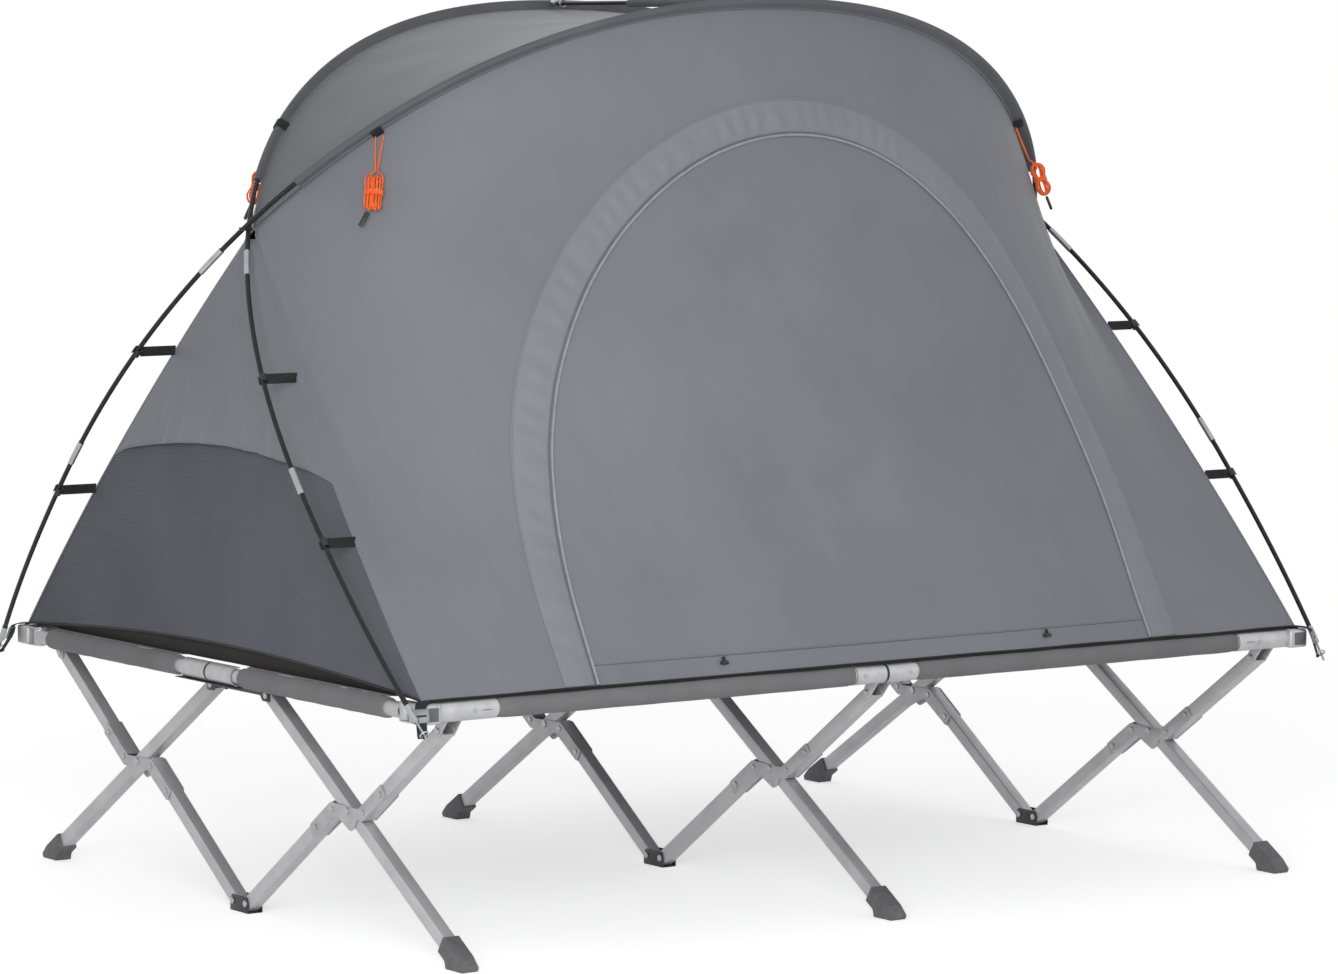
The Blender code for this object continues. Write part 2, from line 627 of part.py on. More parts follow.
def bed_cloth():
    """The bed's sheet with its sleeves round the rails and end bars, as one piece."""
    top = RAIL_Z + SLEEVE_RADIUS - BED_CLOTH_DROP
    sleeve_x = (COUPLING_END + SLEEVE_MARGIN, CORNER_START_X - SLEEVE_MARGIN)
    tuck = SLEEVE_MARGIN
    low_z, high_z = top - BED_CLOTH + TONGUE_INSET, top - TONGUE_INSET
    cloth = box((-BED_EDGE_X, -BED_EDGE_Y, top - BED_CLOTH), (BED_EDGE_X, BED_EDGE_Y, top))
    tongues = []
    for side in (-1, 1):
        for end in (-1, 1):
            x = sorted((side * (sleeve_x[0] + tuck), side * (sleeve_x[1] - tuck)))
            y = sorted((end * (BED_EDGE_Y - tuck), end * RAIL_Y))
            tongues.append(box((x[0], y[0], low_z), (x[1], y[1], high_z)))
            x = sorted((end * (BED_EDGE_X - tuck), end * END_BAR_X))
            y = sorted((side * (END_SLEEVE_Y[0] + tuck), side * (END_SLEEVE_Y[1] - tuck)))
            tongues.append(box((x[0], y[0], low_z), (x[1], y[1], high_z)))
    sleeves = []
    bores = []
    for side in (-1, 1):
        for end in (-1, 1):
            low, high = sorted((side * sleeve_x[0], side * sleeve_x[1]))
            sleeves.append(rod(SLEEVE_RADIUS, (low, end * RAIL_Y, RAIL_Z), (high, end * RAIL_Y, RAIL_Z),
                               TUBE_SIDES))
            bores.append(rod(SLEEVE_BORE, (low - OVERRUN, end * RAIL_Y, RAIL_Z),
                             (high + OVERRUN, end * RAIL_Y, RAIL_Z), BORE_SIDES))
            near, far = sorted((side * END_SLEEVE_Y[0], side * END_SLEEVE_Y[1]))
            sleeves.append(rod(SLEEVE_RADIUS, (end * END_BAR_X, near, RAIL_Z), (end * END_BAR_X, far, RAIL_Z),
                               TUBE_SIDES))
            bores.append(rod(SLEEVE_BORE, (end * END_BAR_X, near - OVERRUN, RAIL_Z),
                             (end * END_BAR_X, far + OVERRUN, RAIL_Z), BORE_SIDES))
    return cut(join(cloth, *tongues, *sleeves), *bores)


# The tent's curves

def oval(level, half_span, top):
    """Half span of a pole's oval at a height."""
    reach = top - POLE_BELLY_Z if level > POLE_BELLY_Z else POLE_LOWER_REACH
    share = min(1.0, abs(level - POLE_BELLY_Z) / reach)
    return half_span * (1.0 - share ** OVAL_POWER) ** (1.0 / OVAL_POWER)


def lean_y(level):
    """Distance from the middle of a pole's leaning plane; past the crossing it is below zero."""
    return LEAN * (CROSSING_Z - level)


def cloth_arch(steps, lift=0.0):
    """Points (x, y, z) of the roof's front edge, from one crossing over the top to the other."""
    top = POLE_TOP_Z - CLOTH_INSET + lift
    half_span = POLE_HALF_SPAN - CLOTH_INSET + lift
    reach = top - POLE_BELLY_Z
    start = math.asin(((CROSSING_Z - POLE_BELLY_Z) / reach) ** (OVAL_POWER / 2))
    points = []
    for i in range(steps + 1):
        turn = start + (math.pi - 2 * start) * i / steps
        level = POLE_BELLY_Z + reach * math.sin(turn) ** (2 / OVAL_POWER)
        x = math.copysign(oval(level, half_span, top), math.cos(turn)) if i * 2 != steps else 0.0
        points.append(Vector((x, lean_y(level), level)))
    return points


def seam_x(level):
    """Half width of the tent at its corner seam, which bows out a little on its way down."""
    top_x = cloth_arch(2)[0].x
    share = (level - WALL_Z) / (CROSSING_Z - WALL_Z)
    return HEM_X - (HEM_X - top_x) * share ** 2


def seam_y(level):
    return HEM_Y * (CROSSING_Z - level) / (CROSSING_Z - WALL_Z)


def sheet(rows, thickness):
    """A cloth solid from rows of points."""
    bm = bmesh.new()
    grid = [[bm.verts.new(point) for point in row] for row in rows]
    for near, far in zip(grid, grid[1:]):
        for i in range(len(near) - 1):
            bm.faces.new((near[i], near[i + 1], far[i + 1], far[i]))
    bmesh.ops.recalc_face_normals(bm, faces=bm.faces)
    mesh = bpy.data.meshes.new("sheet")
    bm.to_mesh(mesh)
    bm.free()
    obj = bpy.data.objects.new("sheet", mesh)
    bpy.context.scene.collection.objects.link(obj)
    solid = obj.modifiers.new("cloth", "SOLIDIFY")
    solid.thickness = thickness
    solid.offset = 0.0
    result = evaluated_mesh(obj)
    bpy.data.meshes.remove(mesh)
    return result


def wall_rulings():
    """Pairs (hem point, edge point) of the +Y wall: lines that fan out to the seams and the roof's edge."""
    arch = cloth_arch(WALL_STEPS)
    steps = WALL_STEPS + 2 * END_ROWS
    rulings = []
    for i in range(steps + 1):
        from_corner = min(i, steps - i)
        side = 1.0 if i * 2 < steps else -1.0
        gap = SEAM_GAP
        if from_corner < END_ROWS:
            share = SEAM_CORNER_SHARE + (1 - SEAM_CORNER_SHARE) * from_corner / END_ROWS
            level = WALL_Z + (CROSSING_Z - WALL_Z) * share
            edge = Vector((side * seam_x(level), seam_y(level), level))
        else:
            point = arch[i - END_ROWS]
            edge = Vector((point.x, -point.y, point.z))
            gap = SEAM_GAP if from_corner == END_ROWS else WALL_TOP_GAP
        across = 1.0 - 2.0 * i / steps
        hem = Vector((across * (HEM_X - SEAM_GAP), HEM_Y, WALL_Z + TENT_CLOTH / 2))
        run = edge - hem
        rulings.append((hem, hem + run * (1.0 - gap / run.length)))
    return rulings


def side_wall():
    """Long wall on the +Y side, from its hem to the seams and the roof's edge."""
    rulings = wall_rulings()
    rows = [[hem.lerp(edge, j / WALL_ROWS) for hem, edge in rulings] for j in range(WALL_ROWS + 1)]
    return sheet(rows, TENT_CLOTH)


def end_wall():
    """End wall at +X: a triangle with a bowed face, between the two corner seams."""
    rows = []
    top_level = CROSSING_Z - END_WALL_TOP_GAP
    for j in range(END_ROWS + 1):
        level = WALL_Z + (top_level - WALL_Z) * j / END_ROWS
        half = seam_y(level) - SEAM_GAP
        rows.append([Vector((seam_x(level), half * k / ROOF_ROWS, level))
                     for k in range(-ROOF_ROWS, ROOF_ROWS + 1)])
    return sheet(rows, TENT_CLOTH)


def roof():
    """Barrel of cloth between the two roof arches, sagging between them, with the guy lines' tabs."""
    arch = cloth_arch(WALL_STEPS, ROOF_LIFT)
    rows = []
    for point in arch[1:-1]:
        half = -point.y
        sag = ROOF_SAG * (half / -arch[WALL_STEPS // 2].y) ** 2
        row = []
        for k in range(-ROOF_ROWS, ROOF_ROWS + 1):
            share = k / ROOF_ROWS
            row.append(Vector((point.x, half * share, point.z - sag * (1 - share ** 2))))
        rows.append(row)
    tabs = []
    for side_x in (-1, 1):
        for side_y in (-1, 1):
            edge, tangent, _ = roof_edge_at(TAB_Z)
            bm = bmesh.new()
            bmesh.ops.create_cube(bm, size=1.0)
            bmesh.ops.scale(bm, vec=(TAB_WIDTH, TAB_REACH + OVERRUN, TAB_THICKNESS), verts=bm.verts)
            slope = math.atan2(-tangent.z, tangent.x)
            bmesh.ops.rotate(bm, cent=(0, 0, 0), matrix=Matrix.Rotation(slope, 3, "Y"), verts=bm.verts)
            lift = Vector((edge.x, 0.0, edge.z - POLE_BELLY_Z)).normalized() * TAB_THICKNESS / 4
            centre = edge + lift + Vector((0.0, (TAB_REACH - OVERRUN) / 2, 0.0))
            bmesh.ops.translate(bm, vec=centre, verts=bm.verts)
            tab = mesh_of(bm)
            if side_x < 0:
                tab = mirrored(tab, 0)
            if side_y < 0:
                tab = mirrored(tab, 1)
            tabs.append(tab)
    return join(sheet(rows, TENT_CLOTH), *tabs)


def roof_edge_at(level):
    """Roof's edge on the +X +Y side at a height: the point, the edge's direction and the ruling below."""
    arch = [Vector((p.x, -p.y, p.z)) for p in cloth_arch(WALL_STEPS, ROOF_LIFT)]
    index = next(i for i, point in enumerate(arch) if point.z >= level)
    low, high = arch[index - 1], arch[index]
    point = low.lerp(high, (level - low.z) / (high.z - low.z))
    hem, edge = wall_rulings()[END_ROWS + index]
    return point, (high - low).normalized(), (hem - edge).normalized()


def doorway(half_width, sill, top):
    """Outline (X, Z) of the door: straight sides under half an oval."""
    points = [(half_width, sill)]
    for i in range(DOOR_ARC_STEPS + 1):
        turn = math.pi * i / DOOR_ARC_STEPS
        points.append((half_width * math.cos(turn), DOOR_SPRING_Z + (top - DOOR_SPRING_Z) * math.sin(turn)))
    points.append((-half_width, sill))
    return points


FACING = Matrix(((1, 0, 0, 0), (0, 0, -1, 0), (0, 1, 0, 0), (0, 0, 0, 1)))   # outline (X, Z), thick along Y


def door_hinge_y():
    """Where the door's fold line lies: on the front wall's outer face, at the sill."""
    rulings = wall_rulings()
    hem, edge = rulings[len(rulings) // 2]
    slope = (hem.y - edge.y) / (edge.z - hem.z)
    return slope * (DOOR_SILL_Z - hem.z) - hem.y - math.hypot(1.0, slope) * TENT_CLOTH / 2


def door_cutter(name, inset, sill_gap, collection):
    outline = doorway(DOOR_HALF_WIDTH - inset, DOOR_SILL_Z + sill_gap, DOOR_TOP_Z - inset)
    mesh = plate([outline], HEM_Y, Matrix.Translation((0, -HEM_Y / 2 - SEAM_GAP * 2, 0)) @ FACING)
    cutter = bpy.data.objects.new(name, mesh)
    collection.objects.link(cutter)
    cutter.hide_render = True
    cutter.display_type = "WIRE"
    return cutter


def tube_along(points, radius, resolution, shares=None):
    """A round tube on a chain of points; shares of its radius may differ from point to point."""
    curve = bpy.data.curves.new("route", "CURVE")
    curve.dimensions = "3D"
    curve.bevel_depth = radius
    curve.bevel_resolution = resolution
    curve.use_fill_caps = True
    spline = curve.splines.new("POLY")
    spline.points.add(len(points) - 1)
    for i, point in enumerate(points):
        spline.points[i].co = (*point, 1.0)
        spline.points[i].radius = shares[i] if shares else 1.0
    obj = bpy.data.objects.new("route", curve)
    bpy.context.scene.collection.objects.link(obj)
    return evaluated_mesh(obj)


def pole_point(level, offset):
    """A point on the +X half of a pole whose feet stand on the +Y side."""
    x = oval(level, POLE_HALF_SPAN + offset, POLE_TOP_Z)
    return Vector((x, lean_y(level), level))


def pole_route(offset):
    """Points of a pole from foot to foot, each with its radius as a share: pins, ferrules and plain runs."""
    pin_top = POLE_FOOT_Z + POLE_PIN_LENGTH / math.hypot(1.0, LEAN)
    pin_share = POLE_PIN_RADIUS / POLE_RADIUS
    ferrule_share = FERRULE_RADIUS / POLE_RADIUS
    rise = FERRULE_LENGTH / math.hypot(1.0, LEAN)
    edge = TOUCH_GAP * 2
    stops = [(POLE_FOOT_Z, pin_share), (pin_top, pin_share), (pin_top + edge, 1.0)]
    below = pin_top + edge
    for ferrule in FERRULE_LEVELS:
        for i in range(1, POLE_LEG_STEPS):
            stops.append((below + (ferrule - below) * i / POLE_LEG_STEPS, 1.0))
        stops += [(ferrule, 1.0), (ferrule + edge, ferrule_share), (ferrule + rise, ferrule_share),
                  (ferrule + rise + edge, 1.0)]
        below = ferrule + rise + edge
    leg = [(pole_point(level, offset), share) for level, share in stops]
    reach = POLE_TOP_Z - POLE_BELLY_Z
    start = math.asin(((below + rise / 2 - POLE_BELLY_Z) / reach) ** (OVAL_POWER / 2))
    arch = []
    for i in range(POLE_STEPS + 1):
        turn = start + (math.pi - 2 * start) * i / POLE_STEPS
        level = POLE_BELLY_Z + reach * math.sin(turn) ** (2 / OVAL_POWER)
        point = pole_point(level, offset)
        point.x = math.copysign(point.x, math.cos(turn))
        arch.append((point, 1.0))
    far_leg = [(Vector((-point.x, point.y, point.z)), share) for point, share in reversed(leg)]
    return leg + arch + far_leg


def pole(offset, side_y):
    """A shock-corded pole: it stands on both corners of one side and leans over to arch above the other."""
    route = pole_route(offset)
    points = [Vector((p.x, side_y * p.y, p.z)) for p, _ in route]
    return tube_along(points, POLE_RADIUS, 1, [share for _, share in route])


def spreader():
    """Short rod across the roof's ridge, with a cup at each end against the poles."""
    reach = -lean_y(POLE_TOP_Z) - POLE_RADIUS - 2 * TOUCH_GAP
    bar = rod(POLE_RADIUS, (0, -reach, POLE_TOP_Z), (0, reach, POLE_TOP_Z))
    cups = []
    for side in (-1, 1):
        cups.append(rod(FERRULE_RADIUS, (0, side * (reach - CUP_LENGTH), POLE_TOP_Z),
                        (0, side * reach, POLE_TOP_Z)))
    return join(bar, *cups)


def floor_sheet():
    """The tent's floor, with its corners cut off square to the corner straps."""
    x, y = FLOOR_HALF
    nip = STRAP_WIDTH / math.sqrt(2)
    outline = [(x, -y + nip), (x, y - nip), (x - nip, y), (-x + nip, y), (-x, y - nip), (-x, -y + nip),
               (-x + nip, -y), (x - nip, -y)]
    return plate([outline], TENT_CLOTH, Matrix.Translation((0, 0, FLOOR_Z + TENT_CLOTH / 2)))


def corner_strap(offset):
    """Webbing from the +X +Y corner of the tent's floor to the eyelet that takes a pole's pin."""
    eyelet = pole_point(POLE_FOOT_Z + POLE_PIN_LENGTH * EYELET_PLACE_SHARE / math.hypot(1.0, LEAN), offset)
    along = (pole_point(eyelet.z + POLE_RADIUS, offset) - eyelet).normalized()
    diagonal = Vector((1.0, 1.0, 0.0)).normalized()
    crosswise = Vector((-1.0, 1.0, 0.0)).normalized() * STRAP_WIDTH / 2
    nip = STRAP_WIDTH / math.sqrt(2)
    level = FLOOR_Z + TENT_CLOTH / 2
    start = Vector((FLOOR_HALF[0] - nip / 2, FLOOR_HALF[1] - nip / 2, level)) + diagonal * TOUCH_GAP
    outside = Vector((BLOCK_X[1], BLOCK_Y[1], level)) + diagonal * STRAP_CLEARANCE
    toward = outside - eyelet
    radial = (toward - along * toward.dot(along)).normalized()
    end = eyelet + radial * (EYELET_RADIUS - STRAP_THICKNESS)
    end_crosswise = radial.cross(along) * (STRAP_WIDTH / 2 * STRAP_TAPER_SHARE)
    if end_crosswise.dot(crosswise) < 0:
        end_crosswise.negate()
    middle = start.lerp(outside, 0.5)
    rows = [[point - crosswise, point + crosswise] for point in (start, middle, outside)]
    rows.append([end - end_crosswise, end + end_crosswise])
    band = sheet(rows, STRAP_THICKNESS)
    turn = along.to_track_quat("Z", "Y").to_matrix().to_4x4()
    place = Matrix.Translation(eyelet) @ turn
    disc = plate([ring_points(EYELET_RADIUS, (0.0, 0.0))], STRAP_THICKNESS, place)
    bore = rod(EYELET_BORE, eyelet - along * EYELET_RADIUS, eyelet + along * EYELET_RADIUS)
    return cut(join(band, disc), bore)


def hank_route():
    """A guy line of the +X +Y side: a strand from the roof's tab, a hank of turns, and a strand back."""
    edge, tangent, ruling = roof_edge_at(TAB_Z)
    outward = ruling.cross(tangent)
    if outward.y < 0:
        outward.negate()
    outward.normalize()
    down = Vector((0.0, 0.0, -1.0))
    down = (down - outward * outward.dot(down)).normalized()
    aside = outward.cross(down)
    spread = Vector((tangent.x, 0.0, tangent.z)).normalized() * STRAND_SPREAD
    if spread.dot(aside) < 0:
        spread.negate()
    tab_end = edge + Vector((0.0, TAB_REACH + LINE_RADIUS + 2 * TOUCH_GAP, 0.0))
    lift = outward * (HANK_WIDTH / 2 + LINE_RADIUS * 2)
    centre = tab_end + down * (LINE_STRAND + HANK_HEIGHT / 2) + lift / 2
    points = []
    half_row = HANK_TURNS * HANK_PITCH / 2
    for i in range(HANK_TURNS * POINTS_A_TURN + 1):
        turn = 2 * math.pi * i / POINTS_A_TURN
        fall = -math.copysign(abs(math.cos(turn)) ** HANK_SQUARENESS, math.cos(turn)) * HANK_HEIGHT / 2
        bulge = math.sin(turn) * HANK_WIDTH / 2
        step = HANK_PITCH * i / POINTS_A_TURN - half_row
        points.append(centre + down * fall + outward * bulge + aside * step)
    strands = []
    for end, side in ((points[0], -1), (points[-1], 1)):
        top = tab_end + spread * side
        strands.append([top.lerp(end, step / STRAND_STEPS) for step in range(STRAND_STEPS)])
    return strands[0] + points + strands[1][::-1]


def least_gap(points, radius, skip):
    """Least gap of a cord to itself, measured between points that lie at least skip steps apart."""
    gap = min((points[i] - points[j]).length for i in range(len(points)) for j in range(i + skip, len(points)))
    return gap - 2 * radius


def guy_line(side_x, side_y):
    points = [Vector((side_x * p.x, side_y * p.y, p.z)) for p in hank_route()]
    gap = least_gap(points, LINE_RADIUS, POINTS_A_TURN // 3)
    print(f"guy line: least gap to itself {gap * 1000:.2f} mm")
    return tube_along(points, LINE_RADIUS, 1)


# Assembly

class Builder:
    """Puts named pieces into the collection and hangs them on their joints' axes."""

    def __init__(self):
        self.parts, self.cutters = start_scene()
        self.places = {}

    def axis(self, name, at, parent=None):
        """An empty on a joint's axis."""
        empty = bpy.data.objects.new(name + "_axis", None)
        empty.empty_display_size = LEG_WIDTH
        self.parts.objects.link(empty)
        self.places[empty] = Vector(at)
        empty.parent = parent
        empty.location = Vector(at) - (self.places[parent] if parent else Vector())
        return empty

    def add(self, name, mesh, finish, parent=None):
        """A piece whose mesh stands in world places; on a joint, its origin goes to the joint's axis."""
        home = self.places[parent] if parent else Vector()
        mesh.transform(Matrix.Translation(-home))
        mesh.name = name
        mesh.materials.clear()
        mesh.materials.append(material(finish))
        mesh.shade_smooth()
        mesh.set_sharp_from_angle(angle=math.radians(SHARP_DEGREES))
        obj = bpy.data.objects.new(name, mesh)
        self.parts.objects.link(obj)
        obj.parent = parent
        return obj


def build_frame(builder):
    bracket = {0: top_bracket(), 1: top_bracket(END_BAR_X - FRAME_PITCH)}
    trough = end_trough()
    for name, x in FRAMES:
        mesh = moved(bracket[abs(x)], (0, 0, 0))
        if x < 0:
            mesh = mirrored(mesh, 0)
        builder.add("top_bracket_" + name, moved(mesh, (x * FRAME_PITCH, 0, 0)), "bracket_black")
    for name, x in ENDS:
        mesh = trough.copy() if x > 0 else mirrored(trough, 0)
        builder.add("end_bar_trough_" + name, mesh, "aluminium")
    builder.add("bed_cloth", bed_cloth(), "bed_cloth")
    shapes = {"outer": outer_leg(), "foot": foot(), "inner": inner_leg(), "base": bottom_bracket(),
              "coupling": mid_coupling(), "corner": corner(), "bar": end_bar()}
    rail = tube(RAIL_RADIUS, RAIL_RADIUS - RAIL_WALL, (COUPLING_GAP / 2, RAIL_Y, RAIL_Z),
                (RAIL_END_X, RAIL_Y, RAIL_Z))
    for side, y in SIDES:

        def placed(shape, x=0.0, mirror_x=False):
            mesh = shape.copy() if y > 0 else mirrored(shape, 1)
            if mirror_x:
                mesh = mirrored(mesh, 0)
            return moved(mesh, (x, 0, 0))

        outer = builder.axis(side + "_outer_legs", (0, y * TOP_PIN[0], TOP_PIN[1]))
        inner = builder.axis(side + "_inner_legs", (0, y * HUB[0], HUB[1]), outer)
        carrier = builder.axis(side + "_rail", (0, y * RAIL_PIN[0], RAIL_PIN[1]), inner)
        for name, x in FRAMES:
            shift = x * FRAME_PITCH
            builder.add(f"outer_leg_{side}_{name}", placed(shapes["outer"], shift), "aluminium", outer)
            builder.add(f"foot_{side}_{name}", placed(shapes["foot"], shift), "foot_plastic", outer)
            builder.add(f"inner_leg_{side}_{name}", placed(shapes["inner"], shift), "aluminium", inner)
        builder.add(f"rail_coupling_{side}", placed(shapes["coupling"]), "aluminium", carrier)
        for name, x in ENDS:
            flip = x < 0
            builder.add(f"rail_{side}_{name}", placed(rail, 0, flip), "aluminium", carrier)
            builder.add(f"corner_{side}_{name}", placed(shapes["corner"], 0, flip), "aluminium", carrier)
            pin_at = (x * END_BAR_X, y * (RAIL_Y - END_BAR_PIN_INSET), RAIL_Z)
            hinge = builder.axis(f"end_bar_{side}_{name}", pin_at, carrier)
            builder.add(f"end_bar_{side}_{name}", placed(shapes["bar"], 0, flip), "aluminium", hinge)
        if side == "front":
            base = builder.axis("bottom_brackets", (0, y * BOTTOM_PIN[0], BOTTOM_PIN[1]), inner)
            for name, x in FRAMES:
                mesh = placed(shapes["base"], x * FRAME_PITCH)
                builder.add("bottom_bracket_" + name, mesh, "bracket_black", base)


def build_tent(builder):
    builder.add("tent_floor", floor_sheet(), "floor_sheet")
    wall = side_wall()
    builder.add("tent_back_wall", wall.copy(), "tent_cloth")
    front = mirrored(wall, 1)
    hinge = builder.axis("door", (0, door_hinge_y(), DOOR_SILL_Z))
    pieces = (("tent_front_wall", "DIFFERENCE", 0.0, 0.0, "tent_cloth", None),
              ("tent_door", "INTERSECT", DOOR_GAP, TOUCH_GAP, "door_cloth", hinge))
    for name, operation, inset, sill_gap, finish, parent in pieces:
        piece = builder.add(name, front.copy(), finish, parent)
        step = piece.modifiers.new("doorway", "BOOLEAN")
        step.operation = operation
        step.solver = "EXACT"
        step.object = door_cutter(name + "_cutter", inset, sill_gap, builder.cutters)
    end = end_wall()
    builder.add("tent_right_wall", end.copy(), "tent_cloth")
    builder.add("tent_left_wall", mirrored(end, 0), "tent_cloth")
    builder.add("tent_roof", roof(), "tent_cloth")
    offsets = {"front": -POLE_OFFSET, "back": POLE_OFFSET}
    for side, y in SIDES:
        builder.add("pole_from_" + side, pole(offsets[side], y), "pole_black")
        for name, x in ENDS:
            strap = corner_strap(offsets[side])
            if x < 0:
                strap = mirrored(strap, 0)
            if y < 0:
                strap = mirrored(strap, 1)
            builder.add(f"corner_strap_{side}_{name}", strap, "webbing")
    builder.add("ridge_spreader", spreader(), "pole_black")
    for side, name in (("front", "left"), ("front", "right"), ("back", "left")):
        line = guy_line(dict(ENDS)[name], dict(SIDES)[side])
        builder.add(f"guy_line_{side}_{name}", line, "guy_line")


def main():
    builder = Builder()
    build_frame(builder)
    build_tent(builder)
    bpy.context.view_layer.update()


main()
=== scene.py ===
"""Tent cot dressed for the studio: a camp bed on scissor legs with a pole tent standing on it."""
import math

import bmesh
import bpy
from bpy.props import FloatProperty, FloatVectorProperty, IntProperty, PointerProperty
from mathutils import Matrix, Vector, noise


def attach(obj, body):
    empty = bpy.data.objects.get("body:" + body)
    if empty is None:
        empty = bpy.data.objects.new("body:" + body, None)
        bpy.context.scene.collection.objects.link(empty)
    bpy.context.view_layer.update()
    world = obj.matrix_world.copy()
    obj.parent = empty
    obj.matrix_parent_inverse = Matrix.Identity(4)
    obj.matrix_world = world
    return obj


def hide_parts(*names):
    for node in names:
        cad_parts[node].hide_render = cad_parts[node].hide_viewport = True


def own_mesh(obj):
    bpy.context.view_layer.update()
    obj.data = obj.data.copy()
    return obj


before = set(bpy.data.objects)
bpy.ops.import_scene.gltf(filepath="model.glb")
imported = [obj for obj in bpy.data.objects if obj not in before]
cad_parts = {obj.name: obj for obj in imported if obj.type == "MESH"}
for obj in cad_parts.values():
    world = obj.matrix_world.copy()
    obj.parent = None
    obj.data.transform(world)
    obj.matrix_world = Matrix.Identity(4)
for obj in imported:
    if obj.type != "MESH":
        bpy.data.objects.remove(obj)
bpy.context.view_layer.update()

bl_info = {
    "name": "Tent Cot",
    "version": (1, 0, 0),
    "blender": (4, 5, 0),
    "location": "View3D > Sidebar > Tent Cot",
    "description": "Dresses the frame, the bed and the tent of a tent cot, piece by piece",
    "category": "Add Mesh",
}

# Bed frame, metres
PITCH = 0.918                 # between leg frames
RAIL_Y, RAIL_Z = 0.710, 0.445
END_X = 0.985                 # axis of the end bars
TUBE, TUBE_WALL = 0.025, 0.0015                 # side and wall of a leg tube
TOP_PIN = Vector((0, 0.100, 0.408))
HUB = Vector((0, 0.381, 0.233))
BOTTOM_PIN = Vector((0, 0.023, 0.018))
RAIL_PIN = Vector((0, 0.682, 0.408))
LOW_RIVET = HUB - Vector((0, 0.110, 0.043))     # outer rivets of a hub bracket
HIGH_RIVET = HUB + Vector((0, 0.110, 0.043))
DOWN = (HUB - TOP_PIN).normalized()             # along an outer leg
FOOT_END = HUB + DOWN * ((HUB.z - 0.022) / -DOWN.z)
SLEEVE = 0.019                # radius of the bed's sleeves
HINGE_Y = 0.665               # pin of a half end bar
PLATE, PLATE_RIM = 0.0020, 0.0004               # thickness of the stamped plates, and rounding of their rims
PLATE_X = 0.0139              # of the plates beside an outer leg, from the leg frame's middle
EAR_X = 0.0144                # of the plates outside an inner leg, from the leg frame's middle
SHELF = END_X - PITCH         # of an end bracket, past its outer side plate

# Tent, metres
HEM_X, HEM_Y, HEM_Z = 0.983, 0.714, 0.4666
HEM_ARC = 0.031               # rise of an end wall's hem at its middle
CROSS_Z = 1.245               # where the poles cross
END_TOP = 0.976               # of an end wall, as a share of the way from the hem up to the crossing
HOOD_TOP, HOOD_HALF = CROSS_Z - 0.022, 0.3985   # level of a hood's top, and half the width of its lower edge
FOOT_Y, FOOT_Z = 0.773, 0.405
LEAN = FOOT_Y / (CROSS_Z - FOOT_Z)
BELLY_Z, TOP_Z, LOWER = 0.750, 1.656, 1.200
POWER = 2.2
HALF_SPAN = 1.045
INSET = 0.014                 # cloth inside the poles
OFFSET = 0.0066               # one pole outside the other
OFFSETS = {"front": -OFFSET, "back": OFFSET}
DOOR_HALF, SILL, SPRING, DOOR_TOP = 0.632, 0.500, 0.600, 1.420
FLAP_HALF, FLAP_TOP = 0.690, 1.478
DOOR_GAP = 0.0003             # between the door, or the hole for it, and their common outline
SEAM_SHARE = 0.17             # of a corner's seam, below its first line
LINES = 240                   # along a long wall's hem
SMOOTHING = ((-1, 1), (-0.5, 2), (0, 2), (0.5, 2), (1, 1))      # places beside a wall's point, and their weights
ROOF_HALF = 0.378             # half the roof's width at the top
SLEEVE_HALF, SLEEVE_START = 0.0066, 0.085       # a pole sleeve's half width, and its start above the crossing
TAB_Z = 1.428                 # of the guy lines' tabs
TOGGLES = (-0.352, 0.380)
FLOOR_X, FLOOR_TURN, FLOOR_Y = 1.015, 0.975, 0.720              # half the floor's length, up to its turn, and width
SHEET_X, SHEET_Y, SHEET_Z = 0.966, 0.691, 0.4645                # the bed's sheet between its sleeves
OVERLAP = 0.019               # of the sheet over the sleeves
POLE, FOOT_PIN = 0.0045, 0.0022                 # radii
FERRULES = ((0.800, 0.841, 0.0057), (1.165, 1.206, 0.0057), (0.436, 0.462, 0.0060))     # levels and radius
CLIP, CLIP_WALL = 0.0082, 0.0022                # radius of a pole clip
SEAM_CORD = 0.0017            # radius of a sewn edge
WEBBING, TAB_WEBBING = (0.022, 0.0016), (0.021, 0.0020)         # width and thickness
PACKING = 1.04                # of a hank's turns, in cord diameters
STRAP_KNOTS = ((0.952, 0.681, 0.4672), (0.984, 0.719, 0.4674), (1.0028, 0.7400, 0.4620), (1.0050, 0.7440, 0.4450))

FRAMES = (("left", -1), ("middle", 0), ("right", 1))
SIDES = (("front", -1), ("back", 1))
ENDS = (("left", -1), ("right", 1))
QUARTERS = [(side, end) for side, _ in SIDES for end, _ in ENDS]
ROOT = "bed_and_tent"
X, Y, Z = Vector((1, 0, 0)), Vector((0, 1, 0)), Vector((0, 0, 1))
ACROSS = Matrix(((0, 0, 1, 0), (1, 0, 0, 0), (0, 1, 0, 0), (0, 0, 0, 1)))   # outline (Y, Z), thick along X
CLIP_LEVELS = {("front", "left"): (0.720, 0.990), ("front", "right"): (0.740, 1.020),
               ("back", "left"): (0.745, 1.016), ("back", "right"): (0.745, 1.016)}
HAIR = 0.00005                # a step too small to see
QUARTER_TURN = Matrix.Rotation(math.pi / 2, 4, "X")

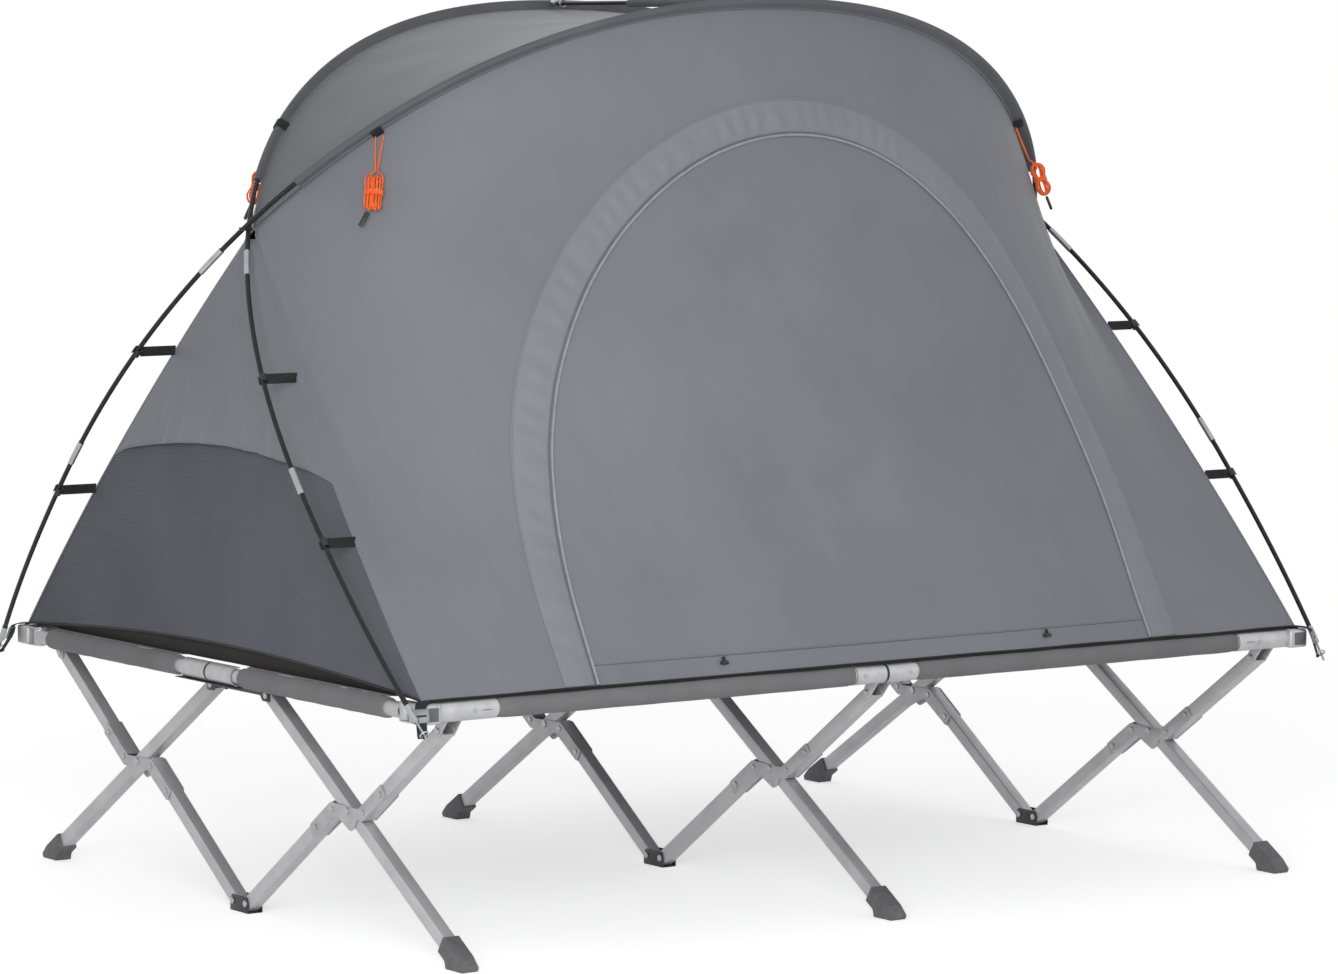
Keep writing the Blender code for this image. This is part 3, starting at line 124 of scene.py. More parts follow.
# Stage: the camera fitted to the photograph in metres and degrees, its lens and film in millimetres
CAMERA_PLACE, CAMERA_TILT, CAMERA_TURN = (-5.578, -8.074, 1.594), 90 - 5.023, -34.743
LENS, FILM = 138.34, 36.0
FLOOR_RADIUS, FADE_START, FADE_END = 4.2, 2.2, 4.0
FLOOR_GLOW = 0.56             # what brings the lit floor up to white
LAMP_AIM = Vector((0, 0, 0.7))
LAMPS = (("key", (-3.7, -4.2, 1.8), 2.4, 165.0), ("fill", (3.8, -5.6, 3.0), 4.5, 45.0),
         ("back", (1.5, 5.5, 4.0), 4.5, 30.0))  # name, place, width in metres, power in watts

# Outlines (Y, Z): of the plates at a crossing, of a foot round the end of an outer leg, and of the brackets' sides
HUB_OUTLINE = [(HUB.y + y * 0.1215, HUB.z + z * 0.1215) for y, z in (
    (-0.94, -0.51), (-0.31, -0.10), (0.09, -0.29), (0.19, -0.25), (0.26, -0.11), (0.42, -0.11), (1.06, 0.33),
    (0.94, 0.51), (0.30, 0.063), (-0.47, 0.080), (-1.06, -0.33))]
BELOW = Vector((0, DOWN.z, -DOWN.y)) * (TUBE / 2 + 0.004)
HEEL = FOOT_END - DOWN * 0.011 + BELOW
FOOT_OUTLINE = [(p.y, p.z) for p in (
    FOOT_END - DOWN * 0.036 + BELOW, HEEL, Vector((0, HEEL.y + 0.004, 0)), Vector((0, FOOT_END.y + 0.039, 0)),
    Vector((0, FOOT_END.y + 0.043, 0.008)), FOOT_END + DOWN * 0.020 - BELOW, FOOT_END - DOWN * 0.036 - BELOW)]
SKIRT_OUTLINE = [(0.112, 0.4262), (0.112, 0.397), (0.088, 0.397), (0.080, 0.4065), (-0.080, 0.4065),
                 (-0.088, 0.397), (-0.112, 0.397), (-0.112, 0.4262)]
CHEEK_OUTLINE = [(-0.0325, 0.0004), (0.0325, 0.0004), (0.0325, 0.018), (0.0265, 0.030), (-0.0265, 0.030),
                 (-0.0325, 0.018)]


# Values that a user would change

class FrameLook(bpy.types.PropertyGroup):
    edge: FloatProperty(name="Tube edge", description="Rounding of the leg tubes' edges", default=0.0022,
                        min=0.0005, max=0.005, unit="LENGTH")
    tube_colour: FloatVectorProperty(name="Anodised tube", description="Colour of legs and rails",
                                     subtype="COLOR", size=3, default=(0.50, 0.495, 0.51))


class ClothLook(bpy.types.PropertyGroup):
    thickness: FloatProperty(name="Cloth", description="Thickness of the tent's cloth", default=0.0009,
                             min=0.0003, max=0.003, unit="LENGTH")
    pucker: FloatProperty(name="Puckers", description="Height of the small folds beside seams", default=0.0017,
                          min=0.0, max=0.006, unit="LENGTH")
    billow: FloatProperty(name="Billow", description="Height of the broad waves in the cloth", default=0.004,
                          min=0.0, max=0.02, unit="LENGTH")
    roof_sag: FloatProperty(name="Roof sag", description="How far the roof hangs between the poles", default=0.020,
                            min=0.0, max=0.06, unit="LENGTH")


class LineLook(bpy.types.PropertyGroup):
    turns: IntProperty(name="Turns", description="Loops of a stowed guy line", default=9, min=3, max=12)
    radius: FloatProperty(name="Cord radius", description="Half the guy line's thickness", default=0.0015,
                          min=0.0008, max=0.003, unit="LENGTH")


# Materials

def linear(hex_colour):
    """An sRGB hex colour as linear RGBA."""
    values = [int(hex_colour[i:i + 2], 16) / 255 for i in (1, 3, 5)]
    return (*[v / 12.92 if v <= 0.04045 else ((v + 0.055) / 1.055) ** 2.4 for v in values], 1.0)


def patches(millimetres):
    """Scale of a noise whose patches are about this wide."""
    return 1000.0 / millimetres


def stripes(millimetres):
    """Scale of a wave whose stripes are this far apart."""
    return math.pi * 100.0 / millimetres


def link(tree, node, links):
    """Joins inputs of a node, by name, to (node, output) pairs."""
    for name, (source, output) in links.items():
        tree.links.new(source.outputs[output], node.inputs[name])


def add_node(tree, kind, settings=None, links=None):
    """Adds a node: settings go to its inputs, its attributes or a ramp's stops, and links join it."""
    node = tree.nodes.new(kind)
    for name, value in (settings or {}).items():
        if name == "stops":
            for stop, (position, colour) in zip(node.color_ramp.elements, value):
                stop.position, stop.color = position, linear(colour) if isinstance(colour, str) else colour
        elif isinstance(name, int) or name in node.inputs:
            node.inputs[name].default_value = value
        else:
            setattr(node, name, value)
    link(tree, node, links or {})
    return node


def feeding(node, socket):
    """The node that is linked to an input of a node."""
    return node.inputs[socket].links[0].from_node


BANDS = {"ribs": ("DIAGONAL",), "tapes": ("X",), "weave": ("X", "Y")}   # stripes that make up a pattern


def pattern(tree, place, form, size, detail):
    """A pattern as a (node, output) pair: patches of noise with their detail, or ribs, tapes or a weave of stripes
    with their distortion, its size in millimetres. Tapes and weaves follow the UV map."""
    if form == "patches":
        return add_node(tree, "ShaderNodeTexNoise", {"Scale": patches(size), "Detail": detail},
                        {"Vector": (place, "Object")}), "Fac"
    bands = [add_node(tree, "ShaderNodeTexWave",
                      {"bands_direction": way, "Scale": stripes(size), "Distortion": detail},
                      {"Vector": (place, "Object" if form == "ribs" else "UV")}) for way in BANDS[form]]
    if len(bands) == 1:
        return bands[0], "Fac"
    return add_node(tree, "ShaderNodeMath", {"operation": "MULTIPLY"},
                    {i: (band, "Fac") for i, band in enumerate(bands)}), "Value"


def start_material(name, dark, light, patch, reliefs, **values):
    """A material whose colour lies in patches, of a size and detail, between two close shades, and whose reliefs lie
    one over another: each a pattern's form, size and detail, then its bump's strength and depth in metres. Fixed
    values go to the shader's own sockets."""
    made = bpy.data.materials.new(name)
    made.use_nodes = True
    tree = made.node_tree
    shader = tree.nodes["Principled BSDF"]
    for socket, value in values.items():
        shader.inputs[socket.replace("_", " ")].default_value = value
    place = add_node(tree, "ShaderNodeTexCoord")
    colour = add_node(tree, "ShaderNodeValToRGB", {"stops": ((0.3, dark), (0.7, light))},
                      {"Fac": pattern(tree, place, "patches", *patch)})
    below = {}
    for form, size, detail, strength, depth in reliefs:
        bump = add_node(tree, "ShaderNodeBump", {"Strength": strength, "Distance": depth},
                        {"Height": pattern(tree, place, form, size, detail), **below})
        below = {"Normal": (bump, "Normal")}
    link(tree, shader, {"Base Color": (colour, "Color"), **below})
    return made, tree, shader, place


def coated_polyester(name, dark, light, rough=0.62):
    """Polyester taffeta, woven, calendered and coated: a dull even grey with a faint sheen and fine crinkles.
    Its weave of 0.2 mm is drawn at 3 mm so that it shows."""
    return start_material(name, dark, light, (260, 4.0), (
        ("patches", 38, 5.0, 0.28, 0.0022), ("patches", 4, 2.0, 0.10, 0.0005), ("weave", 3.0, 0.6, 0.16, 0.0003)),
        Roughness=rough, Sheen_Weight=0.2, Sheen_Roughness=0.45, Specular_IOR_Level=0.35)[0]


def knitted_mesh(name, dark, light):
    """Polyester mosquito mesh, knitted: darker than the cloth and matt. Its 1 mm holes are drawn at 5 mm."""
    made, tree, shader, _ = start_material(name, dark, light, (200, 2.0), (("weave", 5.0, 0.0, 0.5, 0.0006),),
                                           Roughness=0.9, Specular_IOR_Level=0.2)
    sunk = feeding(shader, "Normal")
    sunk.invert = True
    shade = add_node(tree, "ShaderNodeMixRGB", {"blend_type": "MULTIPLY", "Color2": linear("#c4c4c8")},
                     {"Fac": (feeding(sunk, "Height"), "Value"), "Color1": (feeding(shader, "Base Color"), "Color")})
    link(tree, shader, {"Base Color": (shade, "Color")})
    return made


def oxford_cloth(name, dark, light, yarns=2.6):
    """Polyester oxford, woven of thick yarns and coated inside: matt and pebbly. Its yarns of 0.5 mm are drawn
    at 2 to 3 mm."""
    return start_material(name, dark, light, (90, 3.0), (
        ("patches", 24, 3.0, 0.22, 0.0012), ("weave", yarns, 0.6, 0.45, 0.0005)),
        Roughness=0.8, Sheen_Weight=0.12, Specular_IOR_Level=0.3)[0]


def woven_webbing(name, dark, light):
    """Polypropylene webbing, woven flat: black with ribs that catch a little light, drawn 2 mm apart."""
    return start_material(name, dark, light, (12, 2.0), (("ribs", 2.0, 0.8, 0.5, 0.0004),),
                          Roughness=0.75, Specular_IOR_Level=0.25)[0]


def laminated_sheet(name, dark, light):
    """Polyethylene sheet, woven of tapes and laminated: black, hardly glossy, creased from folding. Its tapes
    of 2.5 mm are drawn as they are."""
    return start_material(name, dark, light, (120, 3.0), (
        ("patches", 60, 5.0, 0.5, 0.003), ("tapes", 2.5, 0.0, 0.25, 0.0003)),
        Roughness=0.6, Specular_IOR_Level=0.2)[0]


def anodised_tube(name):
    """Aluminium tube, extruded and anodised: pale satin grey with long die lines and small handling marks."""
    colour = bpy.context.scene.cot_frame.tube_colour
    dark, light = [(*[min(1.0, c * share) for c in colour], 1.0) for share in (0.9, 1.08)]
    made, tree, shader, place = start_material(name, dark, light, (70, 3.0), (("patches", 9, 2.0, 0.05, 0.0002),),
                                               Metallic=0.45, Roughness=0.46)
    stretched = add_node(tree, "ShaderNodeMapping", {"Scale": (900.0, 6.0, 1.0)}, {"Vector": (place, "UV")})
    lines = add_node(tree, "ShaderNodeTexNoise", {"Scale": 1.0, "Detail": 2.0}, {"Vector": (stretched, "Vector")})
    drawn = add_node(tree, "ShaderNodeBump", {"Strength": 0.10, "Distance": 0.00012}, {"Height": (lines, "Fac")})
    link(tree, feeding(shader, "Normal"), {"Normal": (drawn, "Normal")})
    rough = add_node(tree, "ShaderNodeMapRange", {"To Min": 0.38, "To Max": 0.54}, {"Value": (lines, "Fac")})
    link(tree, shader, {"Roughness": (rough, "Result")})
    return made


def blasted_metal(name, dark, light, rough, grain=1.5, depth=0.00015, strength=0.25, metallic=0.55):
    """Aluminium or zinc, cast or stamped, then blasted: light grey with a fine grain, its size in millimetres, and
    slightly darker where it was handled. Oxide dulls it, so it isn't fully metallic."""
    return start_material(name, dark, light, (25, 3.0), (("patches", grain, 2.0, strength, depth),),
                          Metallic=metallic, Roughness=rough)[0]


def moulded_plastic(name, dark, light, rough=0.55, grain=1.2):
    """Polypropylene, or powder coat on steel: matt with a fine grain, its size in millimetres, and a little paler
    where it has been rubbed."""
    return start_material(name, dark, light, (14, 3.0), (("patches", grain, 2.0, 0.25, 0.0002),),
                          Roughness=rough)[0]


def lacquered_fibreglass(name, dark, light):
    """Fibreglass rod, pulled through a die and lacquered: black with a long soft highlight."""
    return start_material(name, dark, light, (25, 2.0), (("patches", 3, 2.0, 0.05, 0.0001),),
                          Roughness=0.42, Specular_IOR_Level=0.3)[0]


def braided_cord(name, dark, light):
    """Polypropylene guy line, braided: bright orange, its braid of 3 mm showing as small slanted ridges."""
    return start_material(name, dark, light, (4, 2.0), (("ribs", 3.0, 1.5, 0.6, 0.0004),),
                          Roughness=0.6, Sheen_Weight=0.2)[0]


# What each finish is made by: its material's name and values
FINISHES = {
    "tent": (coated_polyester, "coated_polyester", "#777a81", "#7e8188"),
    # The roof is the tent's own cloth drawn darker: painted shade over the whole roof
    "roof": (coated_polyester, "coated_polyester_roof", "#606467", "#676b6e"),
    "strip": (coated_polyester, "coated_polyester_strip", "#80838a", "#888b92"),
    "seam": (coated_polyester, "coated_seam_tape", "#85888e", "#8d9096", 0.7),
    "sleeve": (oxford_cloth, "oxford_pole_sleeve", "#5b5d62", "#64666b", 2.2),
    "mesh": (knitted_mesh, "knitted_mesh", "#666870", "#6d6f76"),
    "bed": (oxford_cloth, "oxford_bed_cloth", "#707072", "#7a7a7c"),
    "binding": (oxford_cloth, "oxford_hem_binding", "#1b1c1e", "#26272a", 2.0),
    "zip": (moulded_plastic, "moulded_zip_coil", "#8f9298", "#9ea1a7", 0.4),
    "webbing": (woven_webbing, "woven_webbing", "#1c1d1f", "#2a2b2e"),
    "floor": (laminated_sheet, "laminated_sheet", "#161515", "#24211f"),
    "tube": (anodised_tube, "anodised_aluminium"),
    "cast": (blasted_metal, "die_cast_aluminium", "#b4b4b7", "#c4c4c7", 0.5),
    "plate": (blasted_metal, "stamped_aluminium", "#a8a8ab", "#b8b8bb", 0.46, 2.5, 0.0002, 0.18),
    "bright": (blasted_metal, "zinc_plated_steel", "#a2a3a6", "#b4b5b8", 0.30, 1.2, 0.0001, 0.08, 0.85),
    "steel": (moulded_plastic, "powder_coated_steel", "#232325", "#313134", 0.45, 1.8),
    "foot": (moulded_plastic, "moulded_foot", "#5a5a5d", "#69696c", 0.6),
    "plug": (moulded_plastic, "moulded_plug", "#5f6063", "#6b6c6f"),
    "buckle": (moulded_plastic, "moulded_buckle", "#6f7073", "#7d7e81", 0.4),
    "black": (moulded_plastic, "moulded_black", "#19191b", "#262629", 0.45),
    "pole": (lacquered_fibreglass, "lacquered_fibreglass", "#141416", "#1d1d20"),
    "line": (braided_cord, "braided_polypropylene", "#f0500a", "#ff7f28"),
}


def finish(key):
    """The material of a finish, made once."""
    maker, name, *values = FINISHES[key]
    name = "cot_" + name
    return bpy.data.materials.get(name) or maker(name, *values)


# Shapes: each maker gives a bmesh in its own place, with a UV map in metres

def fresh():
    """An empty shape with a UV map."""
    part = bmesh.new()
    part.loops.layers.uv.new("UVMap")
    return part


def turned_out(part):
    """The same shape with its faces pointing outwards."""
    bmesh.ops.recalc_face_normals(part, faces=part.faces)
    return part


def add(bm, part, matrix=None, index=0):
    """Moves a shape into a piece with one of the piece's finishes; a mirrored one is turned right side out."""
    matrix = matrix or Matrix()
    bmesh.ops.transform(part, matrix=matrix, verts=part.verts)
    if matrix.determinant() < 0:
        bmesh.ops.reverse_faces(part, faces=part.faces)
    for face in part.faces:
        face.material_index = index
    mesh = bpy.data.meshes.new("part")
    part.to_mesh(mesh)
    part.free()
    bm.from_mesh(mesh)
    bpy.data.meshes.remove(mesh)


def rounded(part, edges, radius, segments=2):
    """Rounds some of a shape's edges."""
    bmesh.ops.bevel(part, geom=edges, offset=radius, offset_type="OFFSET", segments=segments, profile=0.5,
                    affect="EDGES", clamp_overlap=True, material=-1)


def upright(part, length):
    """The long edges, along Z, of a shape of this length."""
    return [e for e in part.edges if abs(e.verts[0].co.z - e.verts[1].co.z) > length / 2]


def level_faces(part):
    """Faces across Z."""
    part.normal_update()
    return [f for f in part.faces if abs(f.normal.z) > 0.9]


def lay_uv(part):
    """UV in metres on a shape that stands along Z: round it and along it."""
    layer = part.loops.layers.uv.active
    for face in part.faces:
        for loop in face.loops:
            loop[layer].uv = (loop.vert.co.x + loop.vert.co.y, loop.vert.co.z)
    return part


def hollow(part, wall, depth=0.03):
    """Sinks both ends of a bar to this depth inside its wall."""
    for face in level_faces(part):
        bmesh.ops.inset_region(part, faces=[face], thickness=wall, use_even_offset=True)
        bmesh.ops.inset_region(part, faces=[face], thickness=HAIR, depth=-depth, use_even_offset=True)


def cuboid(size):
    part = fresh()
    bmesh.ops.create_cube(part, size=1.0)
    bmesh.ops.scale(part, vec=size, verts=part.verts)
    return part


def block(size, edge=0.0, segments=2):
    part = cuboid(size)
    if edge:
        rounded(part, part.edges[:], edge, segments)
    return lay_uv(part)


def leg_tube(length, edge):
    """Square tube along Z, open at its ends."""
    part = cuboid((TUBE, TUBE, length))
    rounded(part, upright(part, length), edge, 3)
    hollow(part, TUBE_WALL)
    return lay_uv(part)


def round_bar(radius, length, edge=0.0, wall=0.0, sides=32, depth=0.03):
    """Round bar or tube along Z."""
    part = fresh()
    bmesh.ops.create_cone(part, cap_ends=True, cap_tris=False, segments=sides, radius1=radius, radius2=radius,
                          depth=length)
    if wall:
        hollow(part, wall, depth)
    elif edge:
        rounded(part, [e for f in level_faces(part) for e in f.edges], edge)
    return lay_uv(part)


def shell(radius, wall, length, start, sweep, steps=28):
    """Part of a round tube along Z: the section of its wall, spun from a starting angle, in degrees."""
    part = fresh()
    turn = math.radians(start)
    out = Vector((math.cos(turn), math.sin(turn), 0))
    corners = ((radius - wall, -length / 2), (radius, -length / 2), (radius, length / 2),
               (radius - wall, length / 2))
    face = part.faces.new([part.verts.new(out * r + Z * z) for r, z in corners])
    bmesh.ops.spin(part, geom=[face, *face.edges, *face.verts], cent=(0, 0, 0), axis=Z,
                   angle=math.radians(sweep), steps=steps, use_merge=False)
    return lay_uv(turned_out(part))


def ring(radius, wire):
    """Closed ring of round wire about Z."""
    part = fresh()
    bmesh.ops.create_circle(part, cap_ends=False, segments=12, radius=wire)
    bmesh.ops.transform(part, matrix=at(radius, 0, 0) @ QUARTER_TURN, verts=part.verts)
    bmesh.ops.spin(part, geom=part.verts[:] + part.edges[:], cent=(0, 0, 0), axis=Z, angle=2 * math.pi,
                   steps=28, use_merge=True)
    return lay_uv(turned_out(part))


def plate(outline, thickness, corner=0.0, edge=0.0):
    """Flat plate in XY, its middle at Z 0; corner rounds its outline and edge its rims."""
    part = fresh()
    face = part.faces.new([part.verts.new((x, y, -thickness / 2)) for x, y in outline])
    grown = bmesh.ops.extrude_face_region(part, geom=[face])["geom"]
    bmesh.ops.translate(part, vec=Z * thickness, verts=[v for v in grown if isinstance(v, bmesh.types.BMVert)])
    turned_out(part)
    if corner:
        rounded(part, upright(part, thickness), corner, 3)
    if edge:
        part.normal_update()
        rounded(part, [e for e in part.edges if sum(abs(f.normal.z) > 0.9 for f in e.link_faces) == 1], edge)
    return lay_uv(part)


def mapped(columns, rows, place, width=1.0, height=1.0):
    """A grid whose points are put where place(u, v) says; its UV is width by height metres."""
    part = fresh()
    bmesh.ops.create_grid(part, x_segments=columns, y_segments=rows, size=0.5)
    layer = part.loops.layers.uv.active
    for face in part.faces:
        for loop in face.loops:
            loop[layer].uv = ((loop.vert.co.x + 0.5) * width, (loop.vert.co.y + 0.5) * height)
    for vert in part.verts:
        vert.co = place(vert.co.x + 0.5, vert.co.y + 0.5)
    return part


def at(x, y, z):
    return Matrix.Translation((x, y, z))


def placement(point, z, near):
    """Placement at a point, its Z in one direction and its X as near another as can be."""
    x = (near - z * near.dot(z)).normalized()
    matrix = Matrix((x, z.cross(x), z)).transposed().to_4x4()
    matrix.translation = point
    return matrix


def along(start, end, side=X):
    """Placement halfway between two points, its Z towards end and its X near side."""
    return placement((start + end) / 2, (end - start).normalized(), side)


def quarter(side, end):
    """Mirror placement from the +X +Y quarter to another."""
    return Matrix.Diagonal((-1 if end == "left" else 1, -1 if side == "front" else 1, 1, 1))


def rod(bm, flip, start, stop, radius, index=0, side=X, **how):
    """Adds a round bar or tube from one point to another."""
    start, stop = Vector(start), Vector(stop)
    add(bm, round_bar(radius, (stop - start).length, **how), flip @ along(start, stop, side), index)


def stud(bm, flip, middle, axis, radius, height, index=0, side=X, **how):
    """Adds a short bar round a point, along an axis."""
    middle, reach = Vector(middle), axis * height / 2
    rod(bm, flip, middle - reach, middle + reach, radius, index, side, **how)


def spread(start, stop, count):
    """Numbers from start to stop in this many even steps."""
    return [start + (stop - start) * i / count for i in range(count + 1)]


def run(path):
    """Length of a path."""
    return sum((b - a).length for a, b in zip(path, path[1:]))


def tangent(path, i):
    """Direction of a path at one of its points."""
    return (path[min(i + 1, len(path) - 1)] - path[max(i - 1, 0)]).normalized()


def skin(path, sides, place, round_length):
    """A closed tube along a path: place(i, v) gives its points, and its ends are filled."""
    count = len(path) - 1
    part = mapped(count, sides, lambda u, v: place(round(u * count), v % 1.0), run(path), round_length)
    bmesh.ops.remove_doubles(part, verts=part.verts, dist=0.00002)
    turned_out(part)
    bmesh.ops.holes_fill(part, edges=[e for e in part.edges if e.is_boundary], sides=0)
    return turned_out(part)


def pipe(path, radius, sides=8, flat=1.0, radii=None):
    """A round or flattened tube along a path, carried on without twist."""
    near = Z if abs(tangent(path, 0).z) < 0.9 else X
    frames = []
    for i, point in enumerate(path):
        frames.append(placement(point, tangent(path, i), near))
        near = frames[-1].col[0].to_3d()

    def place(i, v):
        turn = 2 * math.pi * v
        reach = radii[i] if radii else radius
        return frames[i] @ Vector((reach * math.cos(turn), reach * math.sin(turn) * flat, 0))

    return skin(path, sides, place, 2 * math.pi * radius)


def band(path, crosswise, width, thickness):
    """Flat webbing along a path; crosswise is its width's direction at each point."""
    def place(u, v):
        i = round(u * (len(path) - 1))
        return path[i] + crosswise[i] * (v - 0.5) * width

    part = mapped(len(path) - 1, 2, place, run(path), width)
    part.normal_update()
    bmesh.ops.solidify(part, geom=part.faces[:], thickness=thickness)
    return turned_out(part)


def smooth_path(points, steps):
    """Catmull-Rom curve through points."""
    made = []
    ends = [points[0] * 2 - points[1], *points, points[-1] * 2 - points[-2]]
    for a, b, c, d in zip(ends, ends[1:], ends[2:], ends[3:]):
        for t in spread(0, 1, steps)[:-1]:
            made.append(0.5 * ((2 * b) + (c - a) * t + (2 * a - 5 * b + 4 * c - d) * t * t
                               + (3 * b - a - 3 * c + d) * t ** 3))
    return made + [points[-1]]


def waves(place, size, seed=0.0):
    """Smooth noise from -1 to 1 whose waves are about size metres long."""
    return noise.noise(Vector(place) / size + Vector((seed, seed * 1.7, -seed)))


def ease(share):
    """0 to 1 with a soft start and end."""
    share = min(1.0, max(0.0, share))
    return share * share * (3 - 2 * share)


def cloth(name, key, columns, rows, place, size, flip=None, **how):
    """Makes a piece that is one sheet of cloth, its points where place(u, v) says and its UV of this size."""
    bm = fresh()
    add(bm, mapped(columns, rows, place, *size), flip)
    return show(name, turned_out(bm), [key], **how)


def placed(name, data):
    """A new object in the scene."""
    obj = bpy.data.objects.new(name, data)
    bpy.context.scene.collection.objects.link(obj)
    return obj


def show(name, bm, keys, body=ROOT, nodes=(), slot="aluminium", sharp=35.0, thick=0.0):
    """Makes the object of a piece, with its finishes, hangs it on the body that it rides on, and hides the parts that
    it stands for.
    """
    mesh = bpy.data.meshes.new(name)
    bm.to_mesh(mesh)
    bm.free()
    for key in keys:
        mesh.materials.append(finish(key))
    mesh.shade_smooth()
    mesh.set_sharp_from_angle(angle=math.radians(sharp))
    obj = placed(name, mesh)
    if thick:
        solid = obj.modifiers.new("cloth", "SOLIDIFY")
        solid.thickness = thick
        solid.offset = 0.0
    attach(obj, body)
    if nodes:
        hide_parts(*nodes)
    return obj


# Curves of the tent: the solids' own, but for the straight lines of the long walls' cloth

def oval(level, half_span, top):
    """Half width at a level of a pole's oval with this half span and top."""
    reach = top - BELLY_Z if level > BELLY_Z else LOWER
    share = min(1.0, abs(level - BELLY_Z) / reach)
    return half_span * (1.0 - share ** POWER) ** (1.0 / POWER)


def oval_turn(level, top):
    """Angle round an oval with this top at which it has this level."""
    return math.asin(((level - BELLY_Z) / (top - BELLY_Z)) ** (POWER / 2))


def lean_y(level):
    """Distance from the middle plane of a pole, which leans over it, at a level."""
    return LEAN * (CROSS_Z - level)


def arch_at(turn, lift=0.0):
    """Point of the front arch of the roof cloth at an angle round the oval."""
    top = TOP_Z - INSET + lift
    level = BELLY_Z + (top - BELLY_Z) * math.sin(turn) ** (2 / POWER)
    x = math.copysign(oval(level, HALF_SPAN - INSET + lift, top), math.cos(turn))
    return Vector((x if abs(turn - math.pi / 2) > 1e-6 else 0.0, lean_y(level), level))


def arch_point(share, lift=0.0):
    """Point of that arch at a share of the way from the +X crossing over the top to the -X one."""
    start = oval_turn(CROSS_Z, TOP_Z - INSET)
    return arch_at(start + (math.pi - 2 * start) * share, lift)


def arch_level(x):
    """Height of the arch over a place along X."""
    share = min(1.0, abs(x) / (HALF_SPAN - INSET))
    return BELLY_Z + (TOP_Z - INSET - BELLY_Z) * (1 - share ** POWER) ** (1 / POWER)


SEAM_TOP_X = arch_point(0.0).x


def seam_x(level):
    """Place along X of the +X corners' seams, which hold the long walls and the end wall together."""
    share = (level - HEM_Z) / (CROSS_Z - HEM_Z)
    return HEM_X - (HEM_X - SEAM_TOP_X) * share ** 2


def seam_y(level):
    return HEM_Y * (CROSS_Z - level) / (CROSS_Z - HEM_Z)


def seam_point(level):
    """Point of the +X +Y corner's seam."""
    return Vector((seam_x(level), seam_y(level), level))


def ruling(s, corner):
    """Hem point and edge point of the +Y wall's line at s, from 0 at the +X corner to 1 at the -X one. The lines
    of this many thirtieths at each end run to the corner's seam, the others to the arch."""
    steps = 30
    place = s * steps
    near = min(place, steps - place)
    if near < corner:
        share = SEAM_SHARE + (1 - SEAM_SHARE) * near / corner
        edge = seam_point(HEM_Z + (CROSS_Z - HEM_Z) * share)
        edge.x *= 1.0 if s < 0.5 else -1.0
    else:
        edge = arch_point((place - corner) / (steps - 2 * corner))
        edge.y = -edge.y
    return Vector(((1.0 - 2.0 * s) * HEM_X, HEM_Y, HEM_Z)), edge


RULINGS = [ruling(s, 1.5) for s in spread(0, 1, LINES)]       # the cloth's straight lines, most of them to the arch
GRID = [ruling(s, 5) for s in spread(0, 1, LINES)]            # the solids' lines, by which its mesh is laid out


def grid_line(u):
    """Hem point and edge point of the mesh's line at a share of the hem."""
    return GRID[min(LINES, max(0, round(u * LINES)))]


def wall_y(x, z):
    """Distance of the +Y wall from the middle plane at a place (x, z)."""
    def at_level(line):
        hem, edge = line
        return hem.lerp(edge, (z - hem.z) / (edge.z - hem.z))

    low, high = 0, LINES
    while high - low > 1:
        middle = (low + high) // 2
        if at_level(RULINGS[middle]).x > x:
            low = middle
        else:
            high = middle
    a, b = at_level(RULINGS[low]), at_level(RULINGS[high])
    part = min(1.0, max(0.0, (a.x - x) / (a.x - b.x))) if abs(a.x - b.x) > 1e-9 else 0.0
    return a.y + (b.y - a.y) * part


def outline_point(share, half, sill, top):
    """Point (x, z) of a door-shaped outline, by share of its length, from the +X foot over to the -X one."""
    side = SPRING - sill
    arc = math.pi * (half + top - SPRING) / 2
    along_it = share * (2 * side + arc)
    if along_it < side:
        return half, sill + along_it
    if along_it > side + arc:
        return -half, SPRING - (along_it - side - arc)
    turn = math.pi * (along_it - side) / arc
    return half * math.cos(turn), SPRING + (top - SPRING) * math.sin(turn)


def between(start, stop, v):
    """Place (x, z) at a share of the way between two places."""
    return [a + (b - a) * v for a, b in zip(start, stop)]


def pole_point(level, offset):
    return Vector((oval(level, HALF_SPAN + offset, TOP_Z), lean_y(level), level))


def pole_at(turn, offset):
    """Point of a pole's upper part at an angle round its oval."""
    point = pole_point(BELLY_Z + (TOP_Z - BELLY_Z) * math.sin(turn) ** (2 / POWER), offset)
    point.x = 0.0 if abs(turn - math.pi / 2) < 1e-6 else math.copysign(point.x, math.cos(turn))
    return point


def pole_run(low, high, offset, steps):
    """Points up a leg of a pole that stands on the +Y side."""
    return [pole_point(level, offset) for level in spread(low, high, steps)]


# Stage

